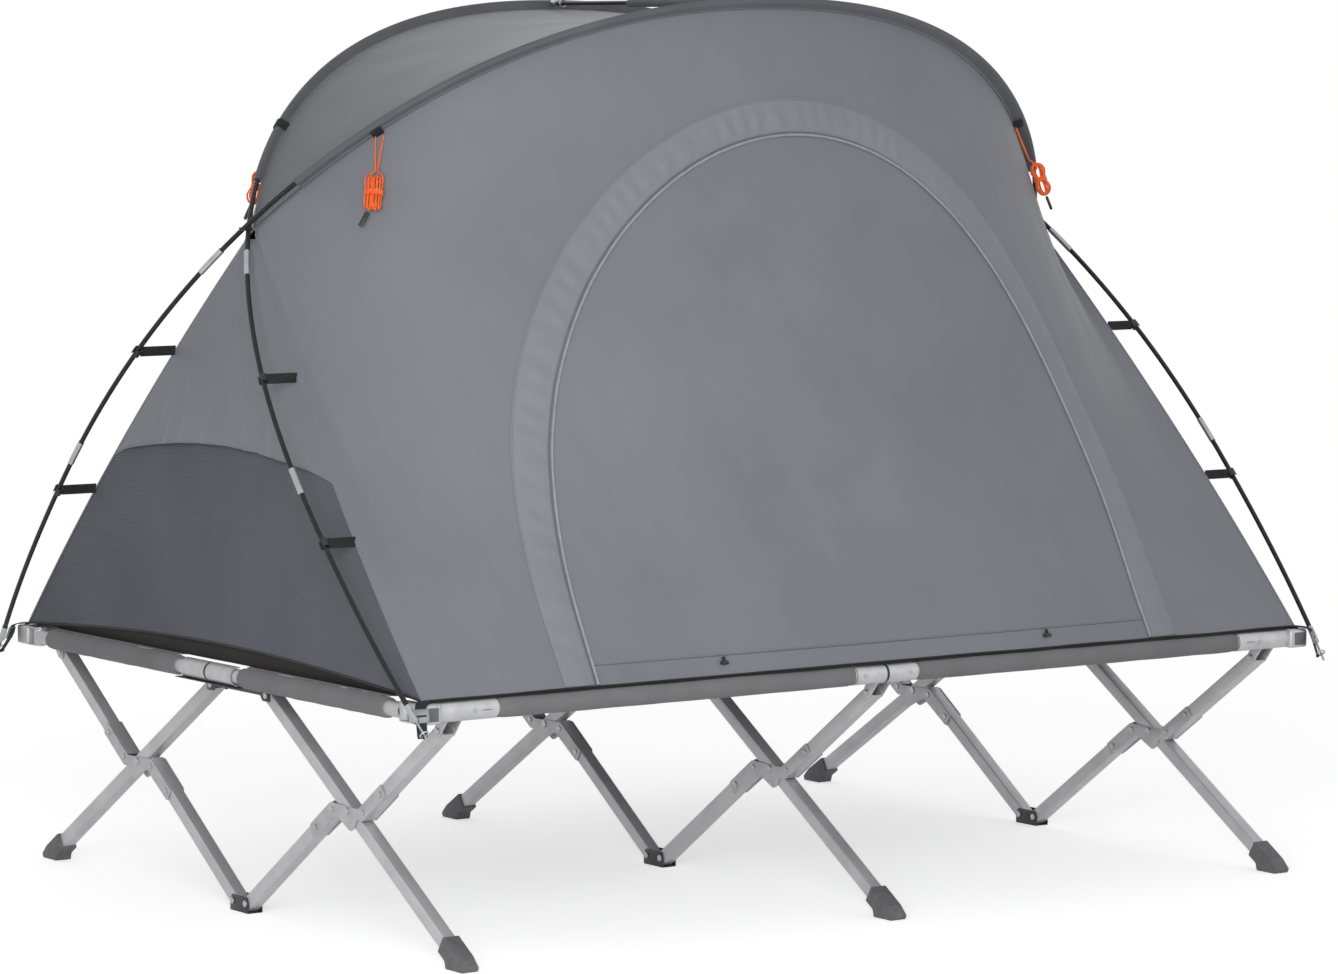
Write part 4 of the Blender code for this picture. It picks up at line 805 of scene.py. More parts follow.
class COT_OT_stage(bpy.types.Operator):
    """Set the camera, the pale floor, the white surroundings and the soft lamps"""
    bl_idname = "cot.stage"
    bl_label = "Stage"

    def execute(self, context):
        camera = placed("camera", bpy.data.cameras.new("camera"))
        camera.data.lens = LENS
        camera.data.sensor_width = FILM
        camera.data.clip_end = 100.0
        camera.location = CAMERA_PLACE
        camera.rotation_euler = (math.radians(CAMERA_TILT), 0.0, math.radians(CAMERA_TURN))
        context.scene.camera = camera

        # Painted board, rolled on: pale, matt and even. To the camera and in reflections it is raised to white,
        # apart from the object's shadow, and far out it gives way to the white surroundings
        made, tree, shader, place = start_material("studio_board", "#efefef", "#efefef", (6, 2.0),
                                                   (("patches", 6, 2.0, 0.05, 0.0003),), Roughness=0.9)
        rays = add_node(tree, "ShaderNodeLightPath")
        seen = add_node(tree, "ShaderNodeMath", {"operation": "MAXIMUM"},
                        {0: (rays, "Is Camera Ray"), 1: (rays, "Is Glossy Ray")})
        level = add_node(tree, "ShaderNodeMath", {"operation": "MULTIPLY", 1: FLOOR_GLOW}, {0: (seen, "Value")})
        glow = add_node(tree, "ShaderNodeEmission", {"Color": (1, 1, 1, 1)}, {"Strength": (level, "Value")})
        raised = add_node(tree, "ShaderNodeAddShader", {}, {0: (shader, "BSDF"), 1: (glow, "Emission")})
        reach = add_node(tree, "ShaderNodeVectorMath", {"operation": "LENGTH"}, {0: (place, "Object")})
        fade = add_node(tree, "ShaderNodeMapRange", {"From Min": FADE_START, "From Max": FADE_END},
                        {"Value": (reach, "Value")})
        clear = add_node(tree, "ShaderNodeBsdfTransparent")
        whole = add_node(tree, "ShaderNodeMixShader", {}, {"Fac": (fade, "Result"), 1: (raised, "Shader"),
                                                           2: (clear, "BSDF")})
        link(tree, tree.nodes["Material Output"], {"Surface": (whole, "Shader")})
        bm = fresh()
        bmesh.ops.create_circle(bm, cap_ends=True, segments=96, radius=FLOOR_RADIUS)
        floor = placed("studio_floor", bpy.data.meshes.new("studio_floor"))
        bm.to_mesh(floor.data)
        bm.free()
        floor.data.materials.append(made)

        world = bpy.data.worlds.new("studio")
        context.scene.world = world
        world.use_nodes = True
        nodes = world.node_tree
        nodes.nodes.clear()
        rays = add_node(nodes, "ShaderNodeLightPath")
        soft, bright = [add_node(nodes, "ShaderNodeBackground", {"Color": (1, 1, 1, 1), "Strength": strength})
                        for strength in (0.36, 1.0)]
        mirrored = add_node(nodes, "ShaderNodeMath", {"operation": "MAXIMUM"},
                            {0: (rays, "Is Glossy Ray"), 1: (rays, "Is Transmission Ray")})
        seen = add_node(nodes, "ShaderNodeMath", {"operation": "MAXIMUM"},
                        {0: (rays, "Is Camera Ray"), 1: (mirrored, "Value")})
        mix = add_node(nodes, "ShaderNodeMixShader", {}, {"Fac": (seen, "Value"), 1: (soft, "Background"),
                                                          2: (bright, "Background")})
        add_node(nodes, "ShaderNodeOutputWorld", {}, {"Surface": (mix, "Shader")})

        for name, place, size, power in LAMPS:
            lamp = placed(name, bpy.data.lights.new(name, "AREA"))
            lamp.data.shape = "SQUARE"
            lamp.data.size = size
            lamp.data.energy = power
            lamp.location = place
            lamp.rotation_euler = (LAMP_AIM - lamp.location).to_track_quat("-Z", "Y").to_euler()
        context.scene.view_settings.view_transform = "Standard"
        return {"FINISHED"}


# Tent

def clearance(x, z):
    """How far a place on a long wall is from the nearest edge of its cloth."""
    side = (seam_x(z) if z < CROSS_Z else oval(z, HALF_SPAN - INSET, TOP_Z - INSET)) - abs(x)
    over = arch_level(x) - z
    if side <= 0 or over <= 0:
        return 0.0
    return max(0.0, min(z - HEM_Z, side * over / math.hypot(side, over)))


def cloth_shift(x, z, side, edge):
    """How far a long wall's cloth stands out or in at a place: broad waves, folds, and puckers at its edge."""
    look = bpy.context.scene.cot_cloth
    broad = waves((x, z * 1.3, side), 0.34, 3.1) * look.billow
    fold = waves((x * 2.2 + z * 0.6, z * 0.5, side), 0.11, 7.7) * look.pucker
    round_edge = math.atan2(z - 0.9, x) * 0.75 if z > 0.9 else x
    stitched = math.sin(round_edge * 190 + 5 * waves((x, z, 2), 0.13)) * waves((x, z, 6), 0.09, 2.0)
    rim = edge / 0.012 * math.exp(1 - edge / 0.012)
    return (broad + fold) * ease(edge / 0.08) + stitched * rim * look.pucker * 0.8


def wall_point(x, z, side, lift=0.0):
    """Point of the +Y long wall's cloth at a place, lifted off it by a length."""
    edge = clearance(x, z)
    reach = min(0.11, edge * 0.8)
    smooth = sum(wall_y(x + reach * step, z) * weight for step, weight in SMOOTHING)
    return Vector((x, smooth / sum(weight for _, weight in SMOOTHING) + cloth_shift(x, z, side, edge) + lift, z))


class COT_OT_walls(bpy.types.Operator):
    """Make the tent's long walls, and its end walls with their mesh windows, hoods and seams"""
    bl_idname = "cot.walls"
    bl_label = "Tent walls"

    def execute(self, context):
        thick = context.scene.cot_cloth.thickness
        front = quarter("front", "right")
        foot_x, foot_z = DOOR_HALF + DOOR_GAP, SILL - DOOR_GAP

        def edge_place(u):
            _, edge = grid_line(u)
            return edge.x, edge.z

        def round_door(u, v):
            rim = outline_point(u, foot_x, foot_z, DOOR_TOP + DOOR_GAP)
            return wall_point(*between(rim, edge_place(u), v), -1)

        def corner_fill(sign):
            def place(u, v):
                foot = (sign * foot_x, foot_z)
                high = between(foot, edge_place(0.0 if sign > 0 else 1.0), u)
                return wall_point(*between(high, between(foot, (sign * HEM_X, HEM_Z), u), v), -1)
            return place

        def below_door(u, v):
            half, z = between((foot_x, foot_z), (HEM_X, HEM_Z), v)
            return wall_point((1 - 2 * u) * half, z, -1)

        bm = fresh()
        add(bm, mapped(300, 80, round_door, 3.4, 0.4), front)
        add(bm, mapped(160, 80, below_door, 1.9, 0.04), front)
        for sign in (-1, 1):
            add(bm, mapped(80, 16, corner_fill(sign), 0.35, 0.15), front)
        bmesh.ops.remove_doubles(bm, verts=bm.verts, dist=0.0004)
        wall = show("front_wall", turned_out(bm), ["tent"], ROOT, ["tent_front_wall"], "tent_cloth", thick=thick)

        def whole(u, v):
            hem, edge = grid_line(u)
            point = hem.lerp(edge, v)
            return wall_point(point.x, point.z, 1)

        wall = cloth("back_wall", "tent", LINES, 130, whole, (1.97, 1.25), nodes=["tent_back_wall"],
                     slot="tent_cloth", thick=thick)

        for end, _ in ENDS:
            side = quarter("back", end)
            bm = fresh()
            add(bm, mapped(110, 130, end_place, 1.43, 0.78), side)
            for face in bm.faces:
                centre = face.calc_center_median()
                face.material_index = int(centre.z < hood_level(centre.y) + 0.02)
            wall = show(end + "_wall", turned_out(bm), ["tent", "mesh"], ROOT, ["tent_" + end + "_wall"],
                        "tent_cloth", thick=thick)
            hood = cloth(end + "_hood", "tent", 170, 40, hood_place, (0.9, 0.4), side, slot="tent_cloth", thick=thick)
            bm = fresh()
            for long_side, _ in SIDES:
                path = [seam_point(level) + (X + Y) * 0.0004 for level in spread(HEM_Z, CROSS_Z - 0.01, 60)]
                add(bm, pipe(path, SEAM_CORD), quarter(long_side, end))
            show(end + "_corner_seams", bm, ["tent"], slot="tent_cloth")
        return {"FINISHED"}


def end_place(u, v):
    """Point of the +X end wall: u from -Y to +Y, v from its arched hem to just below the crossing."""
    across = 2 * u - 1
    low = HEM_Z + HEM_ARC * (1 - across ** 2)
    level = low + (HEM_Z + (CROSS_Z - HEM_Z) * END_TOP - low) * v
    y = across * seam_y(level)
    look = bpy.context.scene.cot_cloth
    middle = (1 - across ** 2) * min(1.0, 6 * v * (1 - v))
    shift = waves((y * 1.2, level, 5), 0.22, 1.3) * look.billow * middle
    shift += waves((y * 3, level * 0.7, 9), 0.09, 4.3) * look.pucker * middle
    return Vector((seam_x(level) + shift, y, level))


def hood_level(y):
    """Height of the arched lower edge of the hood over an end's mesh window."""
    return 0.856 - 0.22 * y ** 2 - 1.9 * max(0.0, abs(y) - 0.33) ** 2


def hood_place(u, v):
    """Point of the +X hood: it hangs from the seams, and its lower edge stands off in puckers."""
    across = 2 * u - 1
    low = hood_level(across * HOOD_HALF)
    level = low + (HOOD_TOP - low) * v
    y = across * seam_y(level) * 0.998
    flare = (1 - v) ** 5 * (1 - abs(across) ** 6)
    pucker = math.sin(y * 62 + 7 * waves((y, 0.3, 0), 0.14)) * 0.0022 + waves((y * 3, level, 4), 0.05) * 0.004
    fold = waves((y * 2.0 + level, level * 0.6, 12), 0.16, 6.0) * 0.0045
    hem = 0.0006 if 0.045 < v < 0.060 else 0.0
    out = 0.0030 + flare * (0.0085 + pucker) + fold * min(1.0, 4 * v * (1 - v)) * (1 - across ** 4) - hem
    return Vector((seam_x(level) + out * (1 - abs(across) ** 12), y, level))


class COT_OT_roof(bpy.types.Operator):
    """Make the roof between the two arches, and the sleeves that hold the poles along its edges"""
    bl_idname = "cot.roof"
    bl_label = "Roof and pole sleeves"

    def execute(self, context):
        look = context.scene.cot_cloth

        def roof_place(u, v):
            point = arch_point(0.002 + 0.996 * u, 0.0018)
            half = -point.y
            share = 2 * v - 1
            sag = look.roof_sag * (half / ROOF_HALF) ** 2 * (1 - share ** 2)
            ripple = waves((point.x * 1.5, share * half, point.z), 0.17, 2.2) * look.billow * 0.8 * (1 - share ** 2)
            pucker = math.sin(u * 420 + 3 * waves((point.x, 0, point.z), 0.2)) * look.pucker * 0.5
            edge = abs(share) ** 8 - abs(share) ** 40
            return Vector((point.x, half * share, point.z - sag)) + outwards(point) * (ripple + pucker * edge)

        # The roof's finish is the tent's cloth with painted shade in its colour
        roof = cloth("roof", "roof", 260, 80, roof_place, (2.2, 0.74), nodes=["tent_roof"], slot="tent_cloth",
                     thick=look.thickness)

        start = oval_turn(CROSS_Z + SLEEVE_START, TOP_Z)
        turns = spread(start, math.pi - start, 180)
        for side, sign_y, offset in (("front", 1, OFFSET), ("back", -1, -OFFSET)):
            path = [pole_at(turn, offset) for turn in turns]
            seams = [arch_at(turn, 0.0010) for turn in turns]

            def place(i, v):
                ahead = tangent(path, i)
                to_cloth = seams[i] - path[i]
                inward = to_cloth - ahead * to_cloth.dot(ahead)
                reach = inward.length + 0.0016
                inward.normalize()
                across = ahead.cross(inward) * SLEEVE_HALF
                c, s = math.cos(2 * math.pi * v), math.sin(2 * math.pi * v)
                if c < 0:
                    return path[i] + inward * SLEEVE_HALF * c + across * s
                return path[i] + inward * reach * c + across * (s * (1 - 0.82 * c))

            flip = Matrix.Diagonal((1, sign_y, 1, 1))
            bm = fresh()
            add(bm, skin(path, 24, place, 0.05), flip)
            show(side + "_pole_sleeve", bm, ["sleeve"], slot="tent_cloth", sharp=50)
            bm = fresh()
            add(bm, pipe([seam + outwards(seam) * 0.0012 - Y * 0.0016 for seam in seams], 0.0012), flip)
            show(side + "_sleeve_piping", bm, ["seam"], slot="tent_cloth")
        return {"FINISHED"}


def outwards(point):
    """Direction in the middle plane from the tent's belly to a point."""
    return Vector((point.x, 0, point.z - BELLY_Z)).normalized()


class COT_OT_door(bpy.types.Operator):
    """Make the door flap in the front wall, its zip, the strip of cloth beside it and its toggles"""
    bl_idname = "cot.door"
    bl_label = "Door"

    def execute(self, context):
        thick = context.scene.cot_cloth.thickness
        front = quarter("front", "right")
        straight = (SPRING - SILL) / (DOOR_TOP - SILL)

        def door_place(u, v):
            half, z = DOOR_HALF - DOOR_GAP, SILL + DOOR_GAP + (DOOR_TOP - SILL) * v
            if v > straight:
                turn = math.radians(88.6) * (v - straight) / (1 - straight)
                half, z = half * math.cos(turn), SPRING + (DOOR_TOP - DOOR_GAP - SPRING) * math.sin(turn)
            return wall_point((1 - 2 * u) * half, z, -1)

        door = cloth("door", "tent", 200, 120, door_place, (1.26, 1.0), front, body="door", nodes=["tent_door"],
                     slot="door_cloth", thick=thick)

        low = HEM_Z + 0.003

        def strip_place(u, v):
            far = u * 2.9
            pucker = math.sin(far * 130 + 6 * waves((far, 0, 1), 0.15)) * 0.0013
            pucker += waves((far * 3, v * 0.2, 2), 0.06, 3.0) * 0.0022
            rise = 0.0016 + 0.0028 * math.sin(math.pi * min(1.0, v * 1.02)) + pucker * math.sin(math.pi * v)
            inner = outline_point(u, DOOR_HALF - 0.004, low, DOOR_TOP - 0.004)
            return wall_point(*between(inner, outline_point(u, FLAP_HALF, low, FLAP_TOP), v), -1, rise)

        strip = cloth("zip_flap", "strip", 420, 12, strip_place, (2.9, 0.058), front, slot="tent_cloth", thick=thick)
        for name, gap, rise, radius, key in (("door_zip", -0.008, 0.0036, 0.0026, "zip"),
                                             ("flap_seam", 0.058, 0.0018, 0.0011, "seam")):
            path = [wall_point(*outline_point(share, DOOR_HALF + gap, low, DOOR_TOP + gap), -1, rise)
                    for share in spread(0, 1, 240)]
            bm = fresh()
            add(bm, pipe(path, radius), front)
            show(name, bm, [key], slot="tent_cloth")
        bm = fresh()
        for x in TOGGLES:
            spot = wall_point(x, 0.489, -1, 0.0055)
            stud(bm, front, spot, X, 0.0036, 0.015, side=Y, edge=0.0012, sides=20)
            add(bm, band([spot + Vector((0, -0.001, 0.0035)) * i for i in range(4)], [X] * 4, 0.006, 0.001), front, 1)
        show("door_toggles", bm, ["black", "webbing"], slot="webbing")
        return {"FINISHED"}


class COT_OT_floor_sheet(bpy.types.Operator):
    """Make the tent's black floor, turned up behind its end hems, and the binding along the hems"""
    bl_idname = "cot.floor_sheet"
    bl_label = "Tent floor and hems"

    def execute(self, context):
        def floor_place(u, v):
            x, y = (2 * u - 1) * FLOOR_X, (2 * v - 1) * FLOOR_Y
            turned = max(0.0, (abs(x) - FLOOR_TURN) / (FLOOR_X - FLOOR_TURN))
            middle = 1 - (y / FLOOR_Y) ** 2
            if turned:
                x = math.copysign(FLOOR_TURN + turned * (0.014 - 0.011 * middle), x)
            edge = max(abs(x) / 0.989, abs(y) / FLOOR_Y) ** 40
            level = 0.4658 + max(0.0, waves((x, y, 0), 0.2, 8.8)) * 0.0020 * edge * (1 - turned)
            level -= 0.0024 * ease((abs(y) - 0.708) / 0.012)
            return Vector((x, y * (1 + waves((x * 2, y, 3), 0.16) * 0.004 * edge), level + 0.034 * middle * turned))

        floor = cloth("floor_sheet", "floor", 150, 110, floor_place, (2.03, 1.44), nodes=["tent_floor"],
                      slot="floor_sheet", thick=0.0014)
        bm = fresh()
        for side, _ in SIDES:
            path = [Vector((x, HEM_Y + 0.0008, HEM_Z + 0.0002 + 0.0012 * waves((i, 1, 0), 9)))
                    for i, x in enumerate(spread(HEM_X, -HEM_X, 120))]
            add(bm, pipe(path, SEAM_CORD), quarter(side, "right"))
        for end, _ in ENDS:
            path = [end_place(u, 0.0) + X * 0.0008 for u in spread(0, 1, 100)]
            add(bm, pipe(path, SEAM_CORD), quarter("back", end))
        show("hem_binding", bm, ["binding"], slot="floor_sheet")
        return {"FINISHED"}


class COT_OT_poles(bpy.types.Operator):
    """Make the two crossed poles with their ferrules, end caps and pins, their clips, and the ridge rod"""
    bl_idname = "cot.poles"
    bl_label = "Tent poles"

    def execute(self, context):
        for side, side_y in SIDES:
            offset = OFFSETS[side]
            leg = [p for p in pole_run(FOOT_Z, BELLY_Z, offset, 24)[:-1] if p.z > FOOT_Z + 0.030]
            top = [pole_at(turn, offset) for turn in spread(0, math.pi, 140)]
            bm = fresh()
            add(bm, pipe(leg + top + [Vector((-p.x, p.y, p.z)) for p in reversed(leg)], POLE, 16),
                Matrix.Diagonal((1, side_y, 1, 1)))
            for end, _ in ENDS:
                for low, high, radius in FERRULES:
                    add(bm, pipe(pole_run(low, high, offset, 6), radius, 20), quarter(side, end), 1)
                add(bm, pipe(pole_run(FOOT_Z, FOOT_Z + 0.034, offset, 4), FOOT_PIN, 12), quarter(side, end), 1)
            show("pole_" + side, bm, ["pole", "bright"], ROOT, ["pole_from_" + side], "pole_black")

        bm = fresh()
        for side, end in QUARTERS:
            flip, offset = quarter(side, end), OFFSETS[side]
            for level in CLIP_LEVELS[side, end]:
                seam, pole = seam_point(level), pole_point(level, offset)
                ahead = (pole_point(level + 0.008, offset) - pole_point(level - 0.008, offset)) / 2
                reach = (pole - seam).normalized()
                tip = pole - reach * 0.0068
                add(bm, block((0.0012, 0.018, (tip - seam).length), 0.0004, 1), flip @ along(seam, tip, Y))
                add(bm, shell(CLIP, CLIP_WALL, 0.016, 40, 280), flip @ along(pole - ahead, pole + ahead, reach), 1)
        show("pole_clips", bm, ["webbing", "black"], slot="webbing")

        bm = fresh()
        spot = pole_point(CROSS_Z, 0.0)
        for sign in (-1, 1):
            for row in (-0.0016, 0.0016):
                add(bm, pipe([Vector((sign * (spot.x + 0.0126 * math.cos(t)), 0.0062 * math.sin(t), spot.z + row))
                              for t in spread(0, 2 * math.pi, 24)], 0.0015))
        show("crossing_rings", bm, ["black"], slot="pole_black")

        bm = fresh()
        reach = -lean_y(TOP_Z) - 0.0052
        rod(bm, Matrix(), (0, -reach, TOP_Z), (0, reach, TOP_Z), 0.0040, edge=0.0004)
        for sign in (-1, 1):
            rod(bm, Matrix(), (0, sign * reach, TOP_Z), (0, sign * (reach - 0.018), TOP_Z), 0.0056, 1, edge=0.001)
        add(bm, ring(0.0074, 0.0014), placement(Vector((0, 0.332, TOP_Z)), Y, X), 1)
        show("ridge_rod", bm, ["pole", "bright"], ROOT, ["ridge_spreader"], "pole_black")
        bm = fresh()
        add(bm, pipe([Vector((0, y, TOP_Z - 0.001)) for y in spread(-0.31, 0.10, 24)], 0.0078, 14, flat=1.25))
        show("ridge_sleeve", bm, ["sleeve"], slot="tent_cloth")
        return {"FINISHED"}


class COT_OT_corner_straps(bpy.types.Operator):
    """Make the webbing straps at the tent's corners, with their buckles and the rings for the poles' pins"""
    bl_idname = "cot.corner_straps"
    bl_label = "Corner straps"

    def execute(self, context):
        crosswise = Vector((-0.77, 0.64, 0)).normalized()
        for side, end in QUARTERS:
            flip = quarter(side, end)
            eye, above = pole_run(0.4176, 0.430, OFFSETS[side], 1)
            ahead = (above - eye).normalized()
            inward = (-Y + ahead * ahead.y).normalized()
            rim = eye + inward * 0.0088
            path = smooth_path([Vector(knot) for knot in STRAP_KNOTS] + [rim], 8)
            bm = fresh()
            add(bm, band(path, [crosswise * (1.0 - 0.2 * i / len(path)) for i in range(len(path))], *WEBBING), flip)
            stud(bm, flip, rim, crosswise, 0.0030, 0.0168, side=Z, edge=0.001, sides=20)
            turn = flip @ at(0.0012, 0.0012, 0) @ along(path[22], path[25], crosswise) @ QUARTER_TURN
            add(bm, plate([(x * 0.0150, z * 0.0120) for x, z in ((-1, -1), (1, -1), (1, 1), (-1, 1))],
                          0.0030, 0.003, 0.0008), turn, 2)
            add(bm, block((0.0215, 0.0040, 0.0036), 0.001), turn)
            add(bm, ring(0.0074, 0.0016), flip @ placement(eye, ahead, X), 1)
            show(f"corner_webbing_{side}_{end}", bm, ["webbing", "bright", "buckle"], ROOT,
                 [f"corner_strap_{side}_{end}"], "webbing")
        return {"FINISHED"}


# Guy lines

def tab_place():
    """Pole's axis at a tab on the +X +Y side, the pole's direction, away from the tent, and towards the wall."""
    turn = min((math.pi / 2 * i / 400 for i in range(1, 400)), key=lambda t: abs(pole_at(t, -OFFSET).z - TAB_Z))
    mirror = Vector((1, -1, 1))
    pole, above = pole_at(turn, -OFFSET) * mirror, pole_at(turn + 0.004, -OFFSET) * mirror
    ahead = (above - pole).normalized()
    away = pole - arch_at(turn) * mirror
    away = (away - ahead * away.dot(ahead)).normalized()
    aside = ahead.cross(away)
    return pole, ahead, away, aside if aside.y > 0 else -aside


def hank_points(turns, radius):
    """Route of a stowed guy line on the +X +Y side: from the tab, round and round, and back to the tab."""
    pole, _, away, wallward = tab_place()
    x, z, step = pole.x - 0.02, pole.z - 0.09, 0.02
    slope_x, slope_z = wall_y(x + step, z) - wall_y(x - step, z), wall_y(x, z + step) - wall_y(x, z - step)
    outward = Vector((-slope_x, 2 * step, -slope_z)).normalized()
    down = (-Z + outward * outward.z).normalized()
    aside = outward.cross(down)
    tab_end = pole - away * 0.012 + wallward * (0.0100 + radius)
    width, height, pitch = 0.034, 0.066, 2 * radius * PACKING
    knot = tab_end + down * 0.068 + outward * 0.004
    centre = knot + down * (0.010 + height / 2) + outward * (width / 4)
    points = []
    for lap in spread(0, turns, turns * 24):
        turn = 2 * math.pi * lap
        slack = 0.93 + 0.07 * math.cos(lap * 1.9 + 1)
        fall = -math.copysign(abs(math.cos(turn)) ** 0.8, math.cos(turn)) * height / 2 * slack
        pinch = 1 - 0.52 * math.exp(-(fall / 0.013) ** 2)
        bulge = math.sin(turn) * width / 2 * pinch * (0.68 + 0.32 * math.cos(lap * 2.6))
        points.append(centre + down * fall + outward * bulge + aside * pitch * (lap - turns / 2))
    strands = []
    for last, side in ((points[0], -1), (points[-1], 1)):
        top, tied = tab_end + aside * side * 0.0075, knot + aside * side * 0.0017
        strands.append([top.lerp(tied, share) for share in spread(0, 1, 6)] + [tied.lerp(last, 0.5)])
    return strands[0] + points + strands[1][::-1], centre, down, outward, aside


class COT_OT_guy_lines(bpy.types.Operator):
    """Make the stowed orange guy lines, their ties and runners, and the tabs that hold them"""
    bl_idname = "cot.guy_lines"
    bl_label = "Guy lines"

    def execute(self, context):
        look = context.scene.cot_line
        route, centre, down, outward, aside = hank_points(look.turns, look.radius)
        half, reach, tie_radius = look.turns * look.radius * PACKING + 0.0030, 0.0118, 0.0016  # of a tie's loops
        for side, end in (("front", "left"), ("front", "right"), ("back", "left")):
            flip = quarter(side, end)
            points = [flip @ p for p in route]
            line = placed(f"guy_line_hank_{side}_{end}", bpy.data.curves.new("guy_line", "CURVE"))
            line.data.dimensions = "3D"
            line.data.bevel_depth = look.radius
            line.data.bevel_resolution = 3
            line.data.use_fill_caps = True
            spline = line.data.splines.new("POLY")
            spline.points.add(len(points) - 1)
            for knot, point in zip(spline.points, points):
                knot.co = (*point, 1.0)
            line.data.materials.append(finish("line"))
            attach(line, ROOT)
            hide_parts(f"guy_line_{side}_{end}")

            bm = fresh()
            for row in (-1, 0, 1):
                middle = centre + down * 0.0032 * row
                add(bm, pipe([middle + outward * reach * math.cos(t) + aside * half * math.sin(t)
                              for t in spread(0, 2 * math.pi, 28)], tie_radius), flip)
            tie = show(f"guy_tie_{side}_{end}", bm, ["line"], slot="guy_line")
            bm = fresh()
            low = centre + down * 0.0365 - aside * 0.008
            add(bm, block((0.0080, 0.0052, 0.028), 0.0012),
                flip @ along(low, low + (down - aside * 0.45) * 0.026, aside))
            runner = show(f"guy_runner_{side}_{end}", bm, ["black"], slot="webbing")
            tuple(points[0])
            round(run(points), 2)
        pole, ahead, away, wallward = tab_place()
        path = [pole - away * 0.020 - wallward * 0.0060, pole - away * 0.010 - wallward * 0.0082]
        path += [pole + (away * math.sin(t) - wallward * math.cos(t)) * 0.0092 for t in spread(0, math.pi, 12)]
        path += [pole - away * 0.008 + wallward * 0.0094, pole - away * 0.018 + wallward * 0.0086]
        for side, end in QUARTERS:
            bm = fresh()
            add(bm, band(path, [ahead] * len(path), *TAB_WEBBING), quarter(side, end))
            show(f"guy_tab_{side}_{end}", bm, ["webbing"], slot="webbing")
        return {"FINISHED"}


# Bed

class COT_OT_bed(bpy.types.Operator):
    """Make the bed's cloth, and the sleeves round its rails and end bars"""
    bl_idname = "cot.bed"
    bl_label = "Bed cloth"

    def execute(self, context):
        def tongue(share, start, across, low, high):
            """How far the sheet's edge reaches over a sleeve: only where the sleeve is, from low to high."""
            return (OVERLAP * max(0.0, (share - start) / (1 - start)) * ease((across - low) / 0.014)
                    * ease((high - across) / 0.014))

        def sheet_place(u, v):
            x, y = (2 * u - 1) * SHEET_X, (2 * v - 1) * SHEET_Y
            out_x = tongue(abs(2 * u - 1), 0.97, abs(y), 0.110, 0.618)
            out_y = tongue(abs(2 * v - 1), 0.96, abs(x), 0.066, 0.840)
            return Vector((x + math.copysign(out_x, x), y + math.copysign(out_y, y), SHEET_Z))

        sheet = cloth("bed_sheet", "bed", 200, 180, sheet_place, (1.93, 1.38), nodes=["bed_cloth"],
                      slot="bed_cloth", thick=0.0008)
        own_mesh(sheet)

        def sleeve(start, stop):
            start, stop = Vector(start), Vector(stop)
            radii = [SLEEVE * (0.978 + 0.035 * waves((i * 0.014, start.x + start.y, 0), 0.12))
                     * (1.0 if 1 < i < 119 else 0.95) for i in range(121)]
            return pipe([start.lerp(stop, share) for share in spread(0, 1, 120)], SLEEVE, 28, radii=radii)

        for side, _ in SIDES:
            bm = fresh()
            for end, _ in ENDS:
                add(bm, sleeve((0.073, RAIL_Y, RAIL_Z), (0.832, RAIL_Y, RAIL_Z)), quarter(side, end))
            show("rail_sleeve_" + side, bm, ["bed"], side + "_rail", slot="bed_cloth", sharp=50)
        for side, end in QUARTERS:
            bm = fresh()
            add(bm, sleeve((END_X, 0.117, RAIL_Z), (END_X, 0.610, RAIL_Z)), quarter(side, end))
            show(f"end_sleeve_{side}_{end}", bm, ["bed"], f"end_bar_{side}_{end}", slot="bed_cloth", sharp=50)
        return {"FINISHED"}


# Frame

def rivet_heads(bm, spot, radius, height, out, flip, index):
    """Domed heads on both sides of a leg frame, their middles this far out along X."""
    for face in (-1, 1):
        stud(bm, flip, spot + X * face * out, X * face, radius, height, index, Y, edge=height * 0.4, sides=28)


def side_plates(bm, outline, x, flip, corner, index=0):
    """A pair of stamped plates across X, this far out on both sides, from an outline (Y, Z)."""
    for face in (-1, 1):
        add(bm, plate(outline, PLATE, corner, PLATE_RIM), flip @ at(face * x, 0, 0) @ ACROSS, index)


